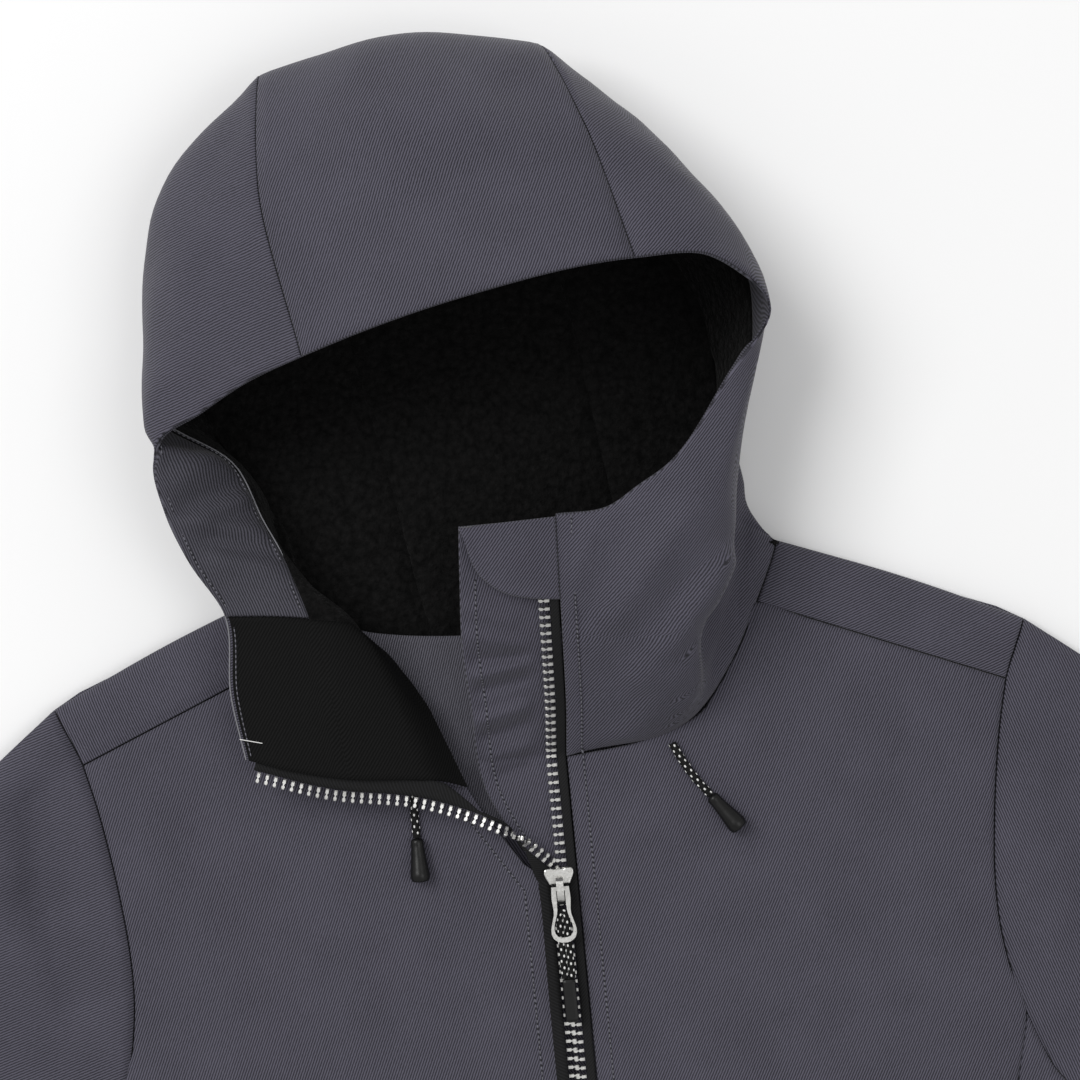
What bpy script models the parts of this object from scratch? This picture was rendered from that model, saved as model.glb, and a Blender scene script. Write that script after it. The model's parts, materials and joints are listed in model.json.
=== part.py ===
"""Hooded insulated jacket laid flat on its back, its hood filled out and its left collar turned open.

Frame: metres, +Z up from the surface it lies on, +Y towards the hood, +X to the right as seen from above.
The origin is under the centre-front neck point, on the underside of the back.
"""

import bpy
import bmesh
import math
import numpy as np

# Driving dimensions, in millimetres
MM = 0.001
SEAM = 0.3  # gap between neighbouring pieces
DRAW_IN = 0.18  # each edge's own share of a seam gap
DEPTH_DRAW_IN = 0.1  # and, for an inner layer of the hood, this share of its depth
NECK_GAP = 0.8  # the hood's walls end this far from the neck seam's line
LAYER = 6.0  # shell, insulation and inner cloth of a body panel together
LAYER_ROUND = 1.5  # softened edge of a flat body panel
SHELL = 2.0  # hood and collar shell
FACING = 1.4  # hood, collar and neck facings
PILE = 4.5  # pile lining of the hood
LOFT = 9.0  # height of a top panel over the panel it lies on
NECK_LIFT = 8.0  # extra height where the collar props the fronts up
NECK_LIFT_Y, NECK_LIFT_WIDE, NECK_LIFT_LONG = 30.0, 90.0, 80.0  # its middle and its reach across and along
EDGE_ROUND = 20.0  # width of the rounding beside a folded edge
EDGE_HEIGHT = 1.2  # what is left of the loft at a folded edge
FACING_WIDTH = 52.0  # hood facing, from the face edge inwards
FACING_SHARE = 0.85  # and no more of the way to the rib's side than this
FRONT_EDGE = 9.0  # fronts end this far from the zip's centre line
HEM_Y = -625.0

# Right half of the laid-out cut, seen from above; the left half mirrors it
SHOULDER = [(119, 95), (178, 72), (235, 46)]
ARMHOLE = [(235, 46), (223, 18), (216, -15), (211, -50), (209, -97), (218, -143), (232, -175), (262, -200)]
SIDE_FOLD = [(262, -200), (273, -270), (277, -380), (274, -510), (270, -625)]
SIDE_SEAM = [(218, -143), (210, -173), (205, -250), (200, -400), (205, -625)]
SLEEVE_OUTER = [
    (235, 46), (290, 2), (345, -50), (395, -115),
    (430, -190), (460, -280), (490, -380), (534, -547),
]
SLEEVE_INNER = [(262, -200), (284, -232), (312, -290), (358, -410), (410, -600)]
ARMHOLE_YOKE_ROW = 1  # row of ARMHOLE where the yoke seam meets it
ARMHOLE_SIDE_ROW = 5  # row of ARMHOLE where the side panel begins
SIDE_ROWS, SLEEVE_ROWS = 10, 15  # grid rows down a side and a sleeve
TO_FOLD = (0, 0.4, 0.7, 0.9, 1)  # grid lines across a side panel, closer at its folded edge
ARMHOLE_FADE = 10  # how fast a sleeve's rows lose the bow of the armhole
OPEN_Y = -60.0  # below this the zip is closed

# One row for each rib of the hood, from the left zip edge over the crown to the right zip edge.
# Columns: rim on the face edge, crest, side where it is widest, back where it meets the ground, neck seam.
HOOD_RIBS = [
    ((-142, 15, 35), (-119, 7, 38), (-94, 1, 38), (-61, -3, 34), (-42, -10, 22)),
    ((-146, 46, 39), (-123, 44, 41), (-99, 42, 41), (-73, 39, 36), (-60, 34, 22)),
    ((-145, 84, 44), (-126, 82, 44), (-105, 78, 41), (-87, 72, 34), (-80, 62, 20)),
    ((-160, 112, 53), (-141, 107, 47), (-119, 98, 37), (-109, 85, 26), (-107, 66, 17)),
    ((-168, 134, 58), (-150, 130, 47), (-131, 122, 30), (-125, 110, 16), (-119, 95, 8)),
    ((-171, 157, 62), (-156, 155, 51), (-140, 149, 28), (-129, 134, 5), (-105, 78, 0)),
    ((-163, 170, 69), (-168, 180, 58), (-168, 190, 36), (-149, 177, 0), (-93, 72, 0)),
    ((-145, 179, 75), (-163, 200, 62), (-169, 221, 35), (-152, 206, 0), (-81, 68, 0)),
    ((-122, 190, 86), (-143, 246, 76), (-159, 283, 40), (-139, 262, 0), (-66, 65, 0)),
    ((-95, 199, 95), (-108, 282, 86), (-105, 337, 42), (-98, 315, 0), (-50, 63, 0)),
    ((-18, 218, 115), (-28, 295, 103), (-35, 349, 45), (-36, 328, 0), (0, 61, 0)),
    ((61, 229, 112), (44, 296, 92), (27, 339, 42), (21, 318, 0), (50, 63, 0)),
    ((97, 228, 102), (90, 265, 84), (73, 291, 42), (58, 268, 0), (81, 68, 0)),
    ((123, 201, 78), (122, 211, 66), (118, 217, 40), (99, 201, 0), (105, 78, 0)),
    ((99, 171, 82), (109, 165, 74), (102, 136, 52), (93, 117, 26), (119, 95, 8)),
    ((67, 134, 85), (83, 115, 82), (94, 88, 62), (83, 81, 38), (107, 66, 17)),
    ((53, 126, 84), (70, 104, 82), (86, 71, 64), (77, 59, 38), (94, 41, 19)),
    ((39, 118, 82), (57, 93, 80), (72, 60, 66), (75, 32, 42), (72, 14, 21)),
    ((14, 116, 80), (13, 89, 71), (12, 59, 58), (11, 29, 40), (9, 1, 23)),
]
STATIONS = 3  # grid rows for each rib
RIB_STEPS = (4, 4, 4, 5)  # grid steps over the facing, then to the side, the back and the neck seam
RIB_LEFT_TURN, RIB_LEFT_YOKE, RIB_LEFT_NECK, RIB_LEFT_SEAM = 2, 3, 4, 9
RIB_RIGHT_SEAM, RIB_RIGHT_NECK, RIB_RIGHT_YOKE, RIB_RIGHT_END = 11, 14, 15, 18

# One row for each large fold: start x, y, end x, y, height (a trough is negative), half width
FOLDS = [
    (-249, 4, -249, -44, -5.0, 11.0),
    (-249, -44, -238, -95, -4.0, 11.0),
    (-296, -40, -330, -150, 3.5, 22.0),
    (250, -20, 262, -110, -3.0, 14.0),
    (300, -60, 345, -190, 3.0, 24.0),
    (425, -230, 350, -300, -4.0, 12.0),
    (445, -285, 372, -345, -3.5, 12.0),
    (-425, -240, -350, -310, -4.0, 12.0),
    (-450, -300, -380, -350, -3.5, 12.0),
    (140, -330, 60, -560, 3.0, 40.0),
    (-120, -300, -70, -540, 3.0, 42.0),
]

# The opened left zip edge: x, y, z along the line of its teeth, from the slider to its top stop
LEFT_ZIP = [
    (-2.2, -50.5, 16.2), (-17, -36, 24), (-36, -24, 31),
    (-60, -14, 35), (-104, -5, 38), (-140, 7, 36),
]
LEFT_ZIP_TWIST = (0.06, 0.26)  # shares of that line between which the tape turns over
RIGHT_ZIP_TOP = 80.0  # y where the right teeth go under the zip garage
TAPE, TAPE_DROP = 1.2, 1.5  # zip tape thickness, and its middle below the cloth's edge
TEETH, TEETH_WIDTH = 2.4, 4.0  # one side of the toothed chain
TAPE_EDGE = 8.6  # outer edge of a tape from the chain's middle

# Wind flap behind the right zip: y and x of its free edge, from the slider up
FLAP_EDGE = [(-54, -5), (-34, -20), (-12, -31), (30, -34), (61, -35), (90, -33), (115, -31)]
FLAP, FLAP_DROP = 1.8, 5.4  # its thickness, and its middle below the cloth's edge
GARAGE_EDGE = [(-29, 109), (-24, 92), (-15, 83), (0, 78), (9, 77)]  # lower edge of the zip garage
GARAGE_TOP = [(-31, 114.5), (13, 115.5)]  # and the ends of its upper edge
GARAGE_LIFT = 1.8  # its top over the cloth's edge
NECK_FACING_RIBS = (5.5, 12.7)  # the neck facing reaches between these rib numbers
NECK_FACING_EDGE = [(96, 70), (84, 5), (0, -32), (-84, 5), (-96, 70)]

# Drawcords: x, y of each route from its exit in the neck seam to its end piece
CORD_DIAMETER = 4.2
CORD_RIGHT = [(60, 2.5), (64, -6), (70, -16), (76, -24)]
CORD_LEFT = [(-60, 6), (-64, -5), (-66, -18), (-66, -31)]
CORD_END_LENGTH, CORD_END_RADII, CORD_END_ROUND = 21.0, (3.0, 4.0), 1.8

# Zip slider and its pull
SLIDER_Y, SLIDER_LENGTH, SLIDER_HEIGHT = -61.0, 18.0, 3.0
SLIDER_WIDTHS = (10.5, 14.0)  # at its lower and its upper end
SLIDER_ROUND = 1.0
PIVOT_Y, PIVOT_HEIGHT = -61.5, 2.0  # the pull's axis, and its height over the slider
BRIDGE_OUTER = [(-6.4, 0), (-6.2, 3.0), (-3.8, 5.2), (0, 5.6), (3.8, 5.2), (5.6, 3.0), (5.8, 0)]
BRIDGE_INNER = [(4.0, 0), (3.6, 2.6), (0, 3.8), (-3.0, 3.4), (-4.4, 2.2), (-4.6, 0)]
BRIDGE_WIDTH = 3.4
# Pull tab: distance from the pivot and half width, down its outside and down its opening
PULL_OUTSIDE = [(-1.1, 4.4), (5, 4.7), (12, 4.3), (17, 5.7), (21, 6.3), (24.5, 4.8), (26, 1.5)]
PULL_OPENING = [(1.1, 1.9), (7, 2.0), (12, 2.4), (16.5, 3.9), (20, 4.3), (22.5, 3.2), (23.2, 1.2)]
PULL_THICK = 1.4
# Pull cord: x, y from the pivot and z from the pull tab's middle, from its sleeve up under the tab and back
PULL_CORD = [
    (1.75, -43.2, -2.7),
    (1.75, -36, -2.7),
    (1.75, -28, -2.7),
    (1.75, -20, -2.7),
    (1.75, -13.5, -2.7),
    (1.3, -11.6, -2.7),
    (0, -10.9, -2.7),
    (-1.3, -11.6, -2.7),
    (-1.75, -13.5, -2.7),
    (-1.75, -20, -2.7),
    (-1.75, -28, -2.7),
    (-1.75, -36, -2.7),
    (-1.75, -43.2, -2.7),
]
PULL_CORD_DIAMETER = 3.2
PULL_SLEEVE, PULL_SLEEVE_ROUND = (6.4, 21.0, 5.2), 1.6  # width, length and height; edge rounding

SHARP_ANGLE = math.radians(50)  # edges sharper than this stay crisp
COLLECTION = "insulated_jacket"


def steady_slope(knots, values):
    """Slopes at the knots that keep a curve from swinging past its own points."""
    step = np.diff(values, axis=0) / np.diff(knots)[:, None]
    product = np.maximum(step[1:] * step[:-1], 0)
    total = step[1:] + step[:-1]
    inside = 2 * product / np.where(product > 0, total, 1)
    return np.concatenate([step[:1], inside, step[-1:]])


def smooth(knots, values, at, slopes=lambda knots, values: np.gradient(values, knots, axis=0)):
    """Cubic curve through the rows of values at rising knots, read at the places in at."""
    values = np.asarray(values, float)
    slope = slopes(knots, values)
    low = np.clip(np.searchsorted(knots, at, side="right") - 1, 0, len(knots) - 2)
    step = (knots[low + 1] - knots[low])[:, None]
    f = (at[:, None] - knots[low][:, None]) / step
    start = values[low] * (1 + 2 * f) * (1 - f) ** 2 + slope[low] * step * f * (1 - f) ** 2
    return start + values[low + 1] * f * f * (3 - 2 * f) + slope[low + 1] * step * f * f * (f - 1)


def chord(points):
    """Distance along a row of points, from 0."""
    points = np.asarray(points, float)
    return np.concatenate([[0.0], np.cumsum(np.linalg.norm(np.diff(points, axis=0), axis=1))])


def curve(points, count):
    """A smooth curve through the points, as count even stations."""
    points = np.asarray(points, float)
    knots = chord(points)
    return smooth(knots, points, np.linspace(0.0, knots[-1], count))


def joined(*stretches):
    """Stretches that follow each other, as one line without doubled ends."""
    return np.concatenate([stretches[0]] + [s[1:] for s in stretches[1:]])


def rib_controls(row):
    """The five control points of the hood at a rib number, which may lie between two ribs."""
    controls = []
    for line in np.array(HOOD_RIBS, float).swapaxes(0, 1):
        knots = chord(line)
        place = np.interp(row, np.arange(len(knots)), knots)
        controls.append(smooth(knots, line, np.array([place]))[0])
    return np.array(controls)


def neck_line(first, last, count):
    """Plan of the neck seam between two rib numbers."""
    return np.array([rib_controls(row)[-1, :2] for row in np.linspace(first, last, count)])


def folded_edges():
    """Plan points along every edge where the top layer folds under."""
    right = [curve(line, 40) for line in (SHOULDER, SLEEVE_OUTER, SLEEVE_INNER, SIDE_FOLD)]
    right = np.concatenate(right)
    return np.concatenate([right, right * (-1, 1)])


FOLDED_EDGES = folded_edges()


def fold_height(x, y):
    """Sum of the large folds at plan points."""
    total = np.zeros_like(x)
    for x0, y0, x1, y1, height, half_width in FOLDS:
        dx, dy = x1 - x0, y1 - y0
        along = np.clip(((x - x0) * dx + (y - y0) * dy) / (dx * dx + dy * dy), 0, 1)
        apart = np.hypot(x - x0 - along * dx, y - y0 - along * dy)
        total += height * np.exp(-((apart / half_width) ** 2))
    return total


def top_height(plan):
    """Height of the garment's top surface over plan points (..., 2)."""
    x, y = plan[..., 0], plan[..., 1]
    apart = np.linalg.norm(plan[..., None, :] - FOLDED_EDGES, axis=-1).min(axis=-1)
    round_off = np.sqrt(1 - (1 - np.clip(apart / EDGE_ROUND, 0, 1)) ** 2)
    from_neck = (x / NECK_LIFT_WIDE) ** 2 + ((y - NECK_LIFT_Y) / NECK_LIFT_LONG) ** 2
    loft = LOFT + NECK_LIFT * np.exp(-from_neck) + fold_height(x, y)
    return LAYER + SEAM + EDGE_HEIGHT + (loft - EDGE_HEIGHT) * round_off


def coons(bottom, top, left, right):
    """Plan grid between four edges: bottom and top run across, left and right run from bottom to top."""
    s = np.linspace(0, 1, len(bottom))[None, :, None]
    t = np.linspace(0, 1, len(left))[:, None, None]
    ruled = bottom[None] * (1 - t) + top[None] * t + left[:, None] * (1 - s) + right[:, None] * s
    corners = (bottom[0] * (1 - s) + bottom[-1] * s) * (1 - t) + (top[0] * (1 - s) + top[-1] * s) * t
    return ruled - corners


def drawn_in(grid, gap=DRAW_IN):
    """The grid with its border moved in."""
    out = grid.copy()
    for border, inside in ((0, 1), (-1, -2)):
        step = grid[inside] - grid[border]
        out[border] += step / np.linalg.norm(step, axis=-1, keepdims=True) * gap
        step = grid[:, inside] - grid[:, border]
        out[:, border] += step / np.linalg.norm(step, axis=-1, keepdims=True) * gap
    return out


def armhole(first, last, shares):
    """Points of the armhole seam at shares of the stretch between two of its rows."""
    knots = chord(ARMHOLE)
    return smooth(knots, ARMHOLE, knots[first] + (knots[last] - knots[first]) * np.asarray(shares))


def yoke_armhole():
    """Where the yoke meets the sleeve, from the shoulder down."""
    return armhole(0, ARMHOLE_YOKE_ROW, np.linspace(0, 1, 5))


def front_armhole():
    """Where a front meets the sleeve, from the yoke seam down."""
    return armhole(ARMHOLE_YOKE_ROW, ARMHOLE_SIDE_ROW, np.linspace(0, 1, 8))


def side_armhole():
    """Where a side panel meets the sleeve, down to the underarm."""
    return armhole(ARMHOLE_SIDE_ROW, len(ARMHOLE) - 1, TO_FOLD)


def front_plan(right):
    """Plan grid of one front, from the hem up."""
    side = 1 if right else -1
    outer = joined(curve(SIDE_SEAM, SIDE_ROWS)[::-1], front_armhole()[::-1]) * (side, 1)
    neck = neck_line(RIB_RIGHT_END, RIB_RIGHT_YOKE, 7) if right else neck_line(0, RIB_LEFT_YOKE, 10)
    seam = np.linspace(neck[-1], outer[-1], 6)
    top = joined(neck, seam)
    start = np.array([side * FRONT_EDGE, HEM_Y])
    turn = np.array([side * FRONT_EDGE, OPEN_Y])
    inner = joined(np.linspace(start, turn, len(outer) - 5), np.linspace(turn, neck[0], 6))
    bottom = np.linspace(start, outer[0], len(top))
    return coons(bottom, top, inner, outer)


def yoke_plan(right):
    """Plan grid of one forward shoulder panel, from its seam to the shoulder fold."""
    side = 1 if right else -1
    outer = yoke_armhole()[::-1] * (side, 1)
    first, last = (RIB_RIGHT_YOKE, RIB_RIGHT_NECK) if right else (RIB_LEFT_YOKE, RIB_LEFT_NECK)
    neck = neck_line(first, last, len(outer))
    fold = curve(SHOULDER, 9) * (side, 1)
    seam = np.linspace(neck[0], outer[0], len(fold))
    return coons(seam, fold, neck, outer)


def side_plan(right):
    """Plan grid of one side panel, from the hem up to the armhole."""
    seam = curve(SIDE_SEAM, SIDE_ROWS)[::-1]
    fold = curve(SIDE_FOLD, SIDE_ROWS)[::-1]
    bottom = seam[0] + (fold[0] - seam[0]) * np.array(TO_FOLD)[:, None]
    return coons(bottom, side_armhole(), seam, fold) * (1 if right else -1, 1)


def sleeve_plan(right):
    """Plan grid of one sleeve: straight rows across it, the first ones bowed to fit the armhole."""
    seam = joined(yoke_armhole(), front_armhole(), side_armhole())
    shares = (chord(seam) / chord(seam)[-1])[None, :, None]
    outer = curve(SLEEVE_OUTER, SLEEVE_ROWS)[:, None]
    inner = curve(SLEEVE_INNER, SLEEVE_ROWS)[:, None]
    rows = outer + (inner - outer) * shares
    fade = np.linspace(1, 0, SLEEVE_ROWS)[:, None, None] ** ARMHOLE_FADE
    return (rows + (seam - rows[0]) * fade) * (1 if right else -1, 1)


def rib_line(row):
    """Points of the hood's outer surface along one rib, from rim to neck, one of them on its widest place."""
    controls = rib_controls(row)
    if row <= RIB_LEFT_NECK or row >= RIB_RIGHT_NECK:
        controls[-1, 2] = top_height(controls[-1, :2]) + NECK_GAP
    knots = chord(controls)
    face = min(FACING_WIDTH, FACING_SHARE * knots[2])
    stops = (0, face, knots[2], knots[3], knots[-1] - NECK_GAP)
    places = joined(*(np.linspace(a, b, steps + 1) for a, b, steps in zip(stops, stops[1:], RIB_STEPS)))
    points = smooth(knots, controls, places, steady_slope)
    points[:, 2] = np.maximum(points[:, 2], 0.0)
    return points


def hood_grid():
    """Outer surface of the whole hood, and its outward normals."""
    stations = (len(HOOD_RIBS) - 1) * STATIONS + 1
    points = np.array([rib_line(station / STATIONS) for station in range(stations)])
    normal = np.cross(np.gradient(points, axis=0), np.gradient(points, axis=1))
    return points, normal / np.linalg.norm(normal, axis=-1, keepdims=True)


def hood_part(hood, ribs, columns, inset):
    """A block of the hood's grid between rib numbers and columns, moved in from its outer side."""
    points, normal = hood
    moved = points - normal * inset
    block = moved[ribs[0] * STATIONS : ribs[1] * STATIONS + 1, columns[0] : columns[1] + 1]
    return drawn_in(block, DRAW_IN + inset * DEPTH_DRAW_IN)


def material(name, colour, roughness, metallic=0.0):
    """A plain material in the piece's own colour."""
    made = bpy.data.materials.new(name)
    made.use_nodes = True
    shader = made.node_tree.nodes["Principled BSDF"]
    shader.inputs["Base Color"].default_value = (*colour, 1.0)
    shader.inputs["Roughness"].default_value = roughness
    shader.inputs["Metallic"].default_value = metallic
    return made


def add(name, data, finish):
    """Put a mesh or curve in the jacket's collection."""
    data.materials.append(finish)
    made = bpy.data.objects.new(name, data)
    bpy.data.collections[COLLECTION].objects.link(made)
    return made


def grid_sheet(points):
    """An open sheet through a grid of points in millimetres, each vertex holding its place in the grid."""
    rows, columns = points.shape[:2]
    sheet = bmesh.new()
    bmesh.ops.create_grid(sheet, x_segments=columns - 1, y_segments=rows - 1, size=1.0)
    place = sheet.verts.layers.int.new("place")
    for vertex in sheet.verts:
        column = round((vertex.co.x + 1) / 2 * (columns - 1))
        row = round((vertex.co.y + 1) / 2 * (rows - 1))
        vertex[place] = row * columns + column
        vertex.co = points[row, column] * MM
    return sheet, place


def wall(name, outer, inner, finish):
    """A closed cloth wall between an outer and an inner grid of points."""
    sheet, place = grid_sheet(outer)
    targets = inner.reshape(-1, 3) * MM
    grown = bmesh.ops.extrude_face_region(sheet, geom=sheet.faces[:])
    for vertex in grown["geom"]:
        if isinstance(vertex, bmesh.types.BMVert):
            vertex.co = targets[vertex[place]]
    sheet.verts.layers.int.remove(place)
    bmesh.ops.recalc_face_normals(sheet, faces=sheet.faces[:])
    data = bpy.data.meshes.new(name)
    sheet.to_mesh(data)
    sheet.free()
    data.shade_smooth()
    data.set_sharp_from_angle(angle=SHARP_ANGLE)
    return add(name, data, finish)


def top_panel(name, plan, finish):
    """A padded panel that lies on the layer below and follows the top surface."""
    plan = drawn_in(plan)
    height = top_height(plan)
    under = np.maximum(height - LAYER, LAYER + SEAM)
    return wall(name, np.dstack([plan, height]), np.dstack([plan, under]), finish)


def hood_wall(name, hood, ribs, columns, depths, finish):
    """A wall of the hood between rib numbers and columns, from one depth inside its surface to another."""
    outer, inner = (hood_part(hood, ribs, columns, depth) for depth in depths)
    return wall(name, outer, inner, finish)


def flat_panel(name, outline, height, finish, holes=(), bevel=0.0, z=0.0):
    """A flat piece cut to an outline in millimetres, with softened edges."""
    data = bpy.data.curves.new(name, "CURVE")
    data.dimensions = "2D"
    data.fill_mode = "BOTH"
    for loop in (outline, *holes):
        spline = data.splines.new("POLY")
        spline.points.add(len(loop) - 1)
        for point, (x, y) in zip(spline.points, loop):
            point.co = (x * MM, y * MM, 0.0, 1.0)
        spline.use_cyclic_u = True
    data.bevel_depth = bevel * MM
    data.bevel_resolution = 0
    data.offset = -(bevel + DRAW_IN) * MM
    data.extrude = (height / 2 - bevel) * MM
    made = add(name, data, finish)
    made.location.z = (z + height / 2) * MM
    return made


def tube(name, points, diameter, count, finish):
    """A round cord along a smooth line through points in millimetres."""
    data = bpy.data.curves.new(name, "CURVE")
    data.dimensions = "3D"
    data.bevel_depth = diameter / 2 * MM
    data.bevel_resolution = 2
    data.use_fill_caps = True
    spline = data.splines.new("POLY")
    spline.points.add(count - 1)
    for point, place in zip(spline.points, curve(points, count)):
        point.co = (*(place * MM), 1.0)
    return add(name, data, finish)


def back_outline():
    """The whole back, from the hem round to the neck."""
    half = joined(curve(SIDE_FOLD, 12)[::-1], curve(ARMHOLE, 16)[::-1], curve(SHOULDER, 5)[::-1])
    neck = neck_line(RIB_RIGHT_NECK, RIB_LEFT_NECK, 21)[1:-1]
    return np.concatenate([half, neck, (half * (-1, 1))[::-1]])


def sleeve_outline(right):
    """The under sleeve's cut, as it lies."""
    side = (1 if right else -1, 1)
    inner = curve(SLEEVE_INNER, 10)
    outer = curve(SLEEVE_OUTER, 14)
    return np.concatenate([joined(curve(ARMHOLE, 16), inner), outer[:0:-1]]) * side


def build_body(cloth):
    """Back, fronts, sides, yokes and sleeves."""
    flat_panel("back", back_outline(), LAYER, cloth, bevel=LAYER_ROUND)
    for right, tag in ((False, "left"), (True, "right")):
        top_panel(f"front_{tag}", front_plan(right), cloth)
        top_panel(f"yoke_{tag}", yoke_plan(right), cloth)
        top_panel(f"side_{tag}", side_plan(right), cloth)
        top_panel(f"sleeve_upper_{tag}", sleeve_plan(right), cloth)
        flat_panel(f"sleeve_under_{tag}", sleeve_outline(right), LAYER, cloth, bevel=LAYER_ROUND)


def build_hood(cloth, black, pile):
    """Hood shell in three panels, its facings and its pile lining."""
    hood = hood_grid()
    inside = SHELL + SEAM
    whole = (0, sum(RIB_STEPS))
    face = (0, RIB_STEPS[0])
    back = (RIB_STEPS[0], whole[1])
    left, crown, right = (0, RIB_LEFT_SEAM), (RIB_LEFT_SEAM, RIB_RIGHT_SEAM), (RIB_RIGHT_SEAM, RIB_RIGHT_END)
    shell_depths, facing_depths, pile_depths = (0, SHELL), (inside, inside + FACING), (inside, inside + PILE)
    hood_wall("hood_side_left", hood, left, whole, shell_depths, cloth)
    hood_wall("hood_crown", hood, crown, whole, shell_depths, cloth)
    hood_wall("hood_side_right", hood, right, whole, shell_depths, cloth)
    hood_wall("collar_facing", hood, (0, RIB_LEFT_TURN), whole, facing_depths, black)
    hood_wall("hood_facing", hood, (RIB_LEFT_TURN, RIB_RIGHT_END), face, facing_depths, cloth)
    hood_wall("lining_left", hood, (RIB_LEFT_TURN, RIB_LEFT_SEAM), back, pile_depths, pile)
    hood_wall("lining_crown", hood, crown, back, pile_depths, pile)
    hood_wall("lining_right", hood, right, back, pile_depths, pile)


def ribbon(name, edge_a, edge_b, thickness, finish):
    """A flat strip between two lines of points, half its thickness to each side."""
    sheet, place = grid_sheet(np.stack([edge_a, edge_b], axis=1))
    sheet.verts.layers.int.remove(place)
    data = bpy.data.meshes.new(name)
    sheet.to_mesh(data)
    sheet.free()
    made = add(name, data, finish)
    thick = made.modifiers.new("thick", "SOLIDIFY")
    thick.thickness = thickness * MM
    thick.offset = 0.0
    return made


def cloth_edge(y):
    """x and z of the right front's and collar's edge beside the zip."""
    y = np.asarray(y, float)
    rib = rib_line(RIB_RIGHT_END)[::-1]
    front = top_height(np.stack([np.full_like(y, FRONT_EDGE), y], axis=-1))
    above = y > rib[0, 1]
    x = np.where(above, np.interp(y, rib[:, 1], rib[:, 0]), FRONT_EDGE)
    return x, np.where(above, np.interp(y, rib[:, 1], rib[:, 2]), front)


def right_strip(near, far):
    """Two lines beside the right zip's cloth edge, near and far from the chain's middle."""
    y = np.concatenate([np.linspace(HEM_Y, OPEN_Y, 14), np.linspace(OPEN_Y, RIGHT_ZIP_TOP, 16)[1:]])
    x, z = cloth_edge(y)
    shift = x - FRONT_EDGE
    return [np.stack([shift + across, y, z - TAPE_DROP], axis=1) for across in (near, far)]


def left_strip(near, far):
    """The same two lines for the left zip, which turns over and follows the opened collar."""
    y = np.linspace(HEM_Y, OPEN_Y, 14)
    z = cloth_edge(y)[1] - TAPE_DROP
    line = curve(LEFT_ZIP, 24)
    shares = np.linspace(0, 1, len(line))
    way = np.gradient(line[:, :2], axis=0)
    way /= np.linalg.norm(way, axis=1, keepdims=True)
    first, last = LEFT_ZIP_TWIST
    turn = np.clip((shares - first) / (last - first), 0, 1)
    angle = math.pi * turn * turn * (3 - 2 * turn)
    aside = np.stack([-way[:, 1] * np.cos(angle), way[:, 0] * np.cos(angle), -np.sin(angle)], axis=1)
    edges = []
    for across in (near, far):
        closed = np.stack([np.full_like(y, -across), y, z], axis=1)
        edges.append(np.concatenate([closed, line + aside * (across - TEETH_WIDTH / 2)]))
    return edges


def build_zip(tape, metal):
    """Tapes and toothed chains of both sides."""
    chain = (SEAM / 2, SEAM / 2 + TEETH_WIDTH)
    band = (chain[1] + SEAM, TAPE_EDGE)
    for tag, strip in (("left", left_strip), ("right", right_strip)):
        ribbon(f"zip_tape_{tag}", *strip(*band), TAPE, tape)
        ribbon(f"zip_teeth_{tag}", *strip(*chain), TEETH, metal)


def build_inner_cloth(cloth):
    """Wind flap, zip garage and the facing inside the back neck."""
    free = curve([(x, y) for y, x in FLAP_EDGE], 16)
    edge_x, edge_z = cloth_edge(free[:, 1])
    left = np.column_stack([free, edge_z - FLAP_DROP])
    right = np.column_stack([edge_x - SEAM * 2, free[:, 1], edge_z - FLAP_DROP])
    ribbon("wind_flap", left, right, FLAP, cloth)
    lower = curve(GARAGE_EDGE, 8)
    upper = np.linspace(*GARAGE_TOP, 8)
    plan = coons(lower, upper, np.linspace(lower[0], upper[0], 4), np.linspace(lower[-1], upper[-1], 4))
    edge_x, height = cloth_edge(plan[..., 1])
    plan[..., 0] = np.minimum(plan[..., 0], edge_x - SEAM * 2)
    outer = np.dstack([plan, height + GARAGE_LIFT])
    wall("zip_garage", outer, outer - (0, 0, FLAP), cloth)
    neck = neck_line(*NECK_FACING_RIBS, 15) - (0, NECK_GAP * 2)
    outline = np.concatenate([neck, curve(NECK_FACING_EDGE, 17)])
    flat_panel("neck_facing", outline, FACING, cloth, z=LAYER + SEAM)


def on_top(route, lift):
    """A plan route laid on the top surface at a height over it."""
    plan = np.array(route, float)
    return np.column_stack([plan, top_height(plan) + lift])


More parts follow.
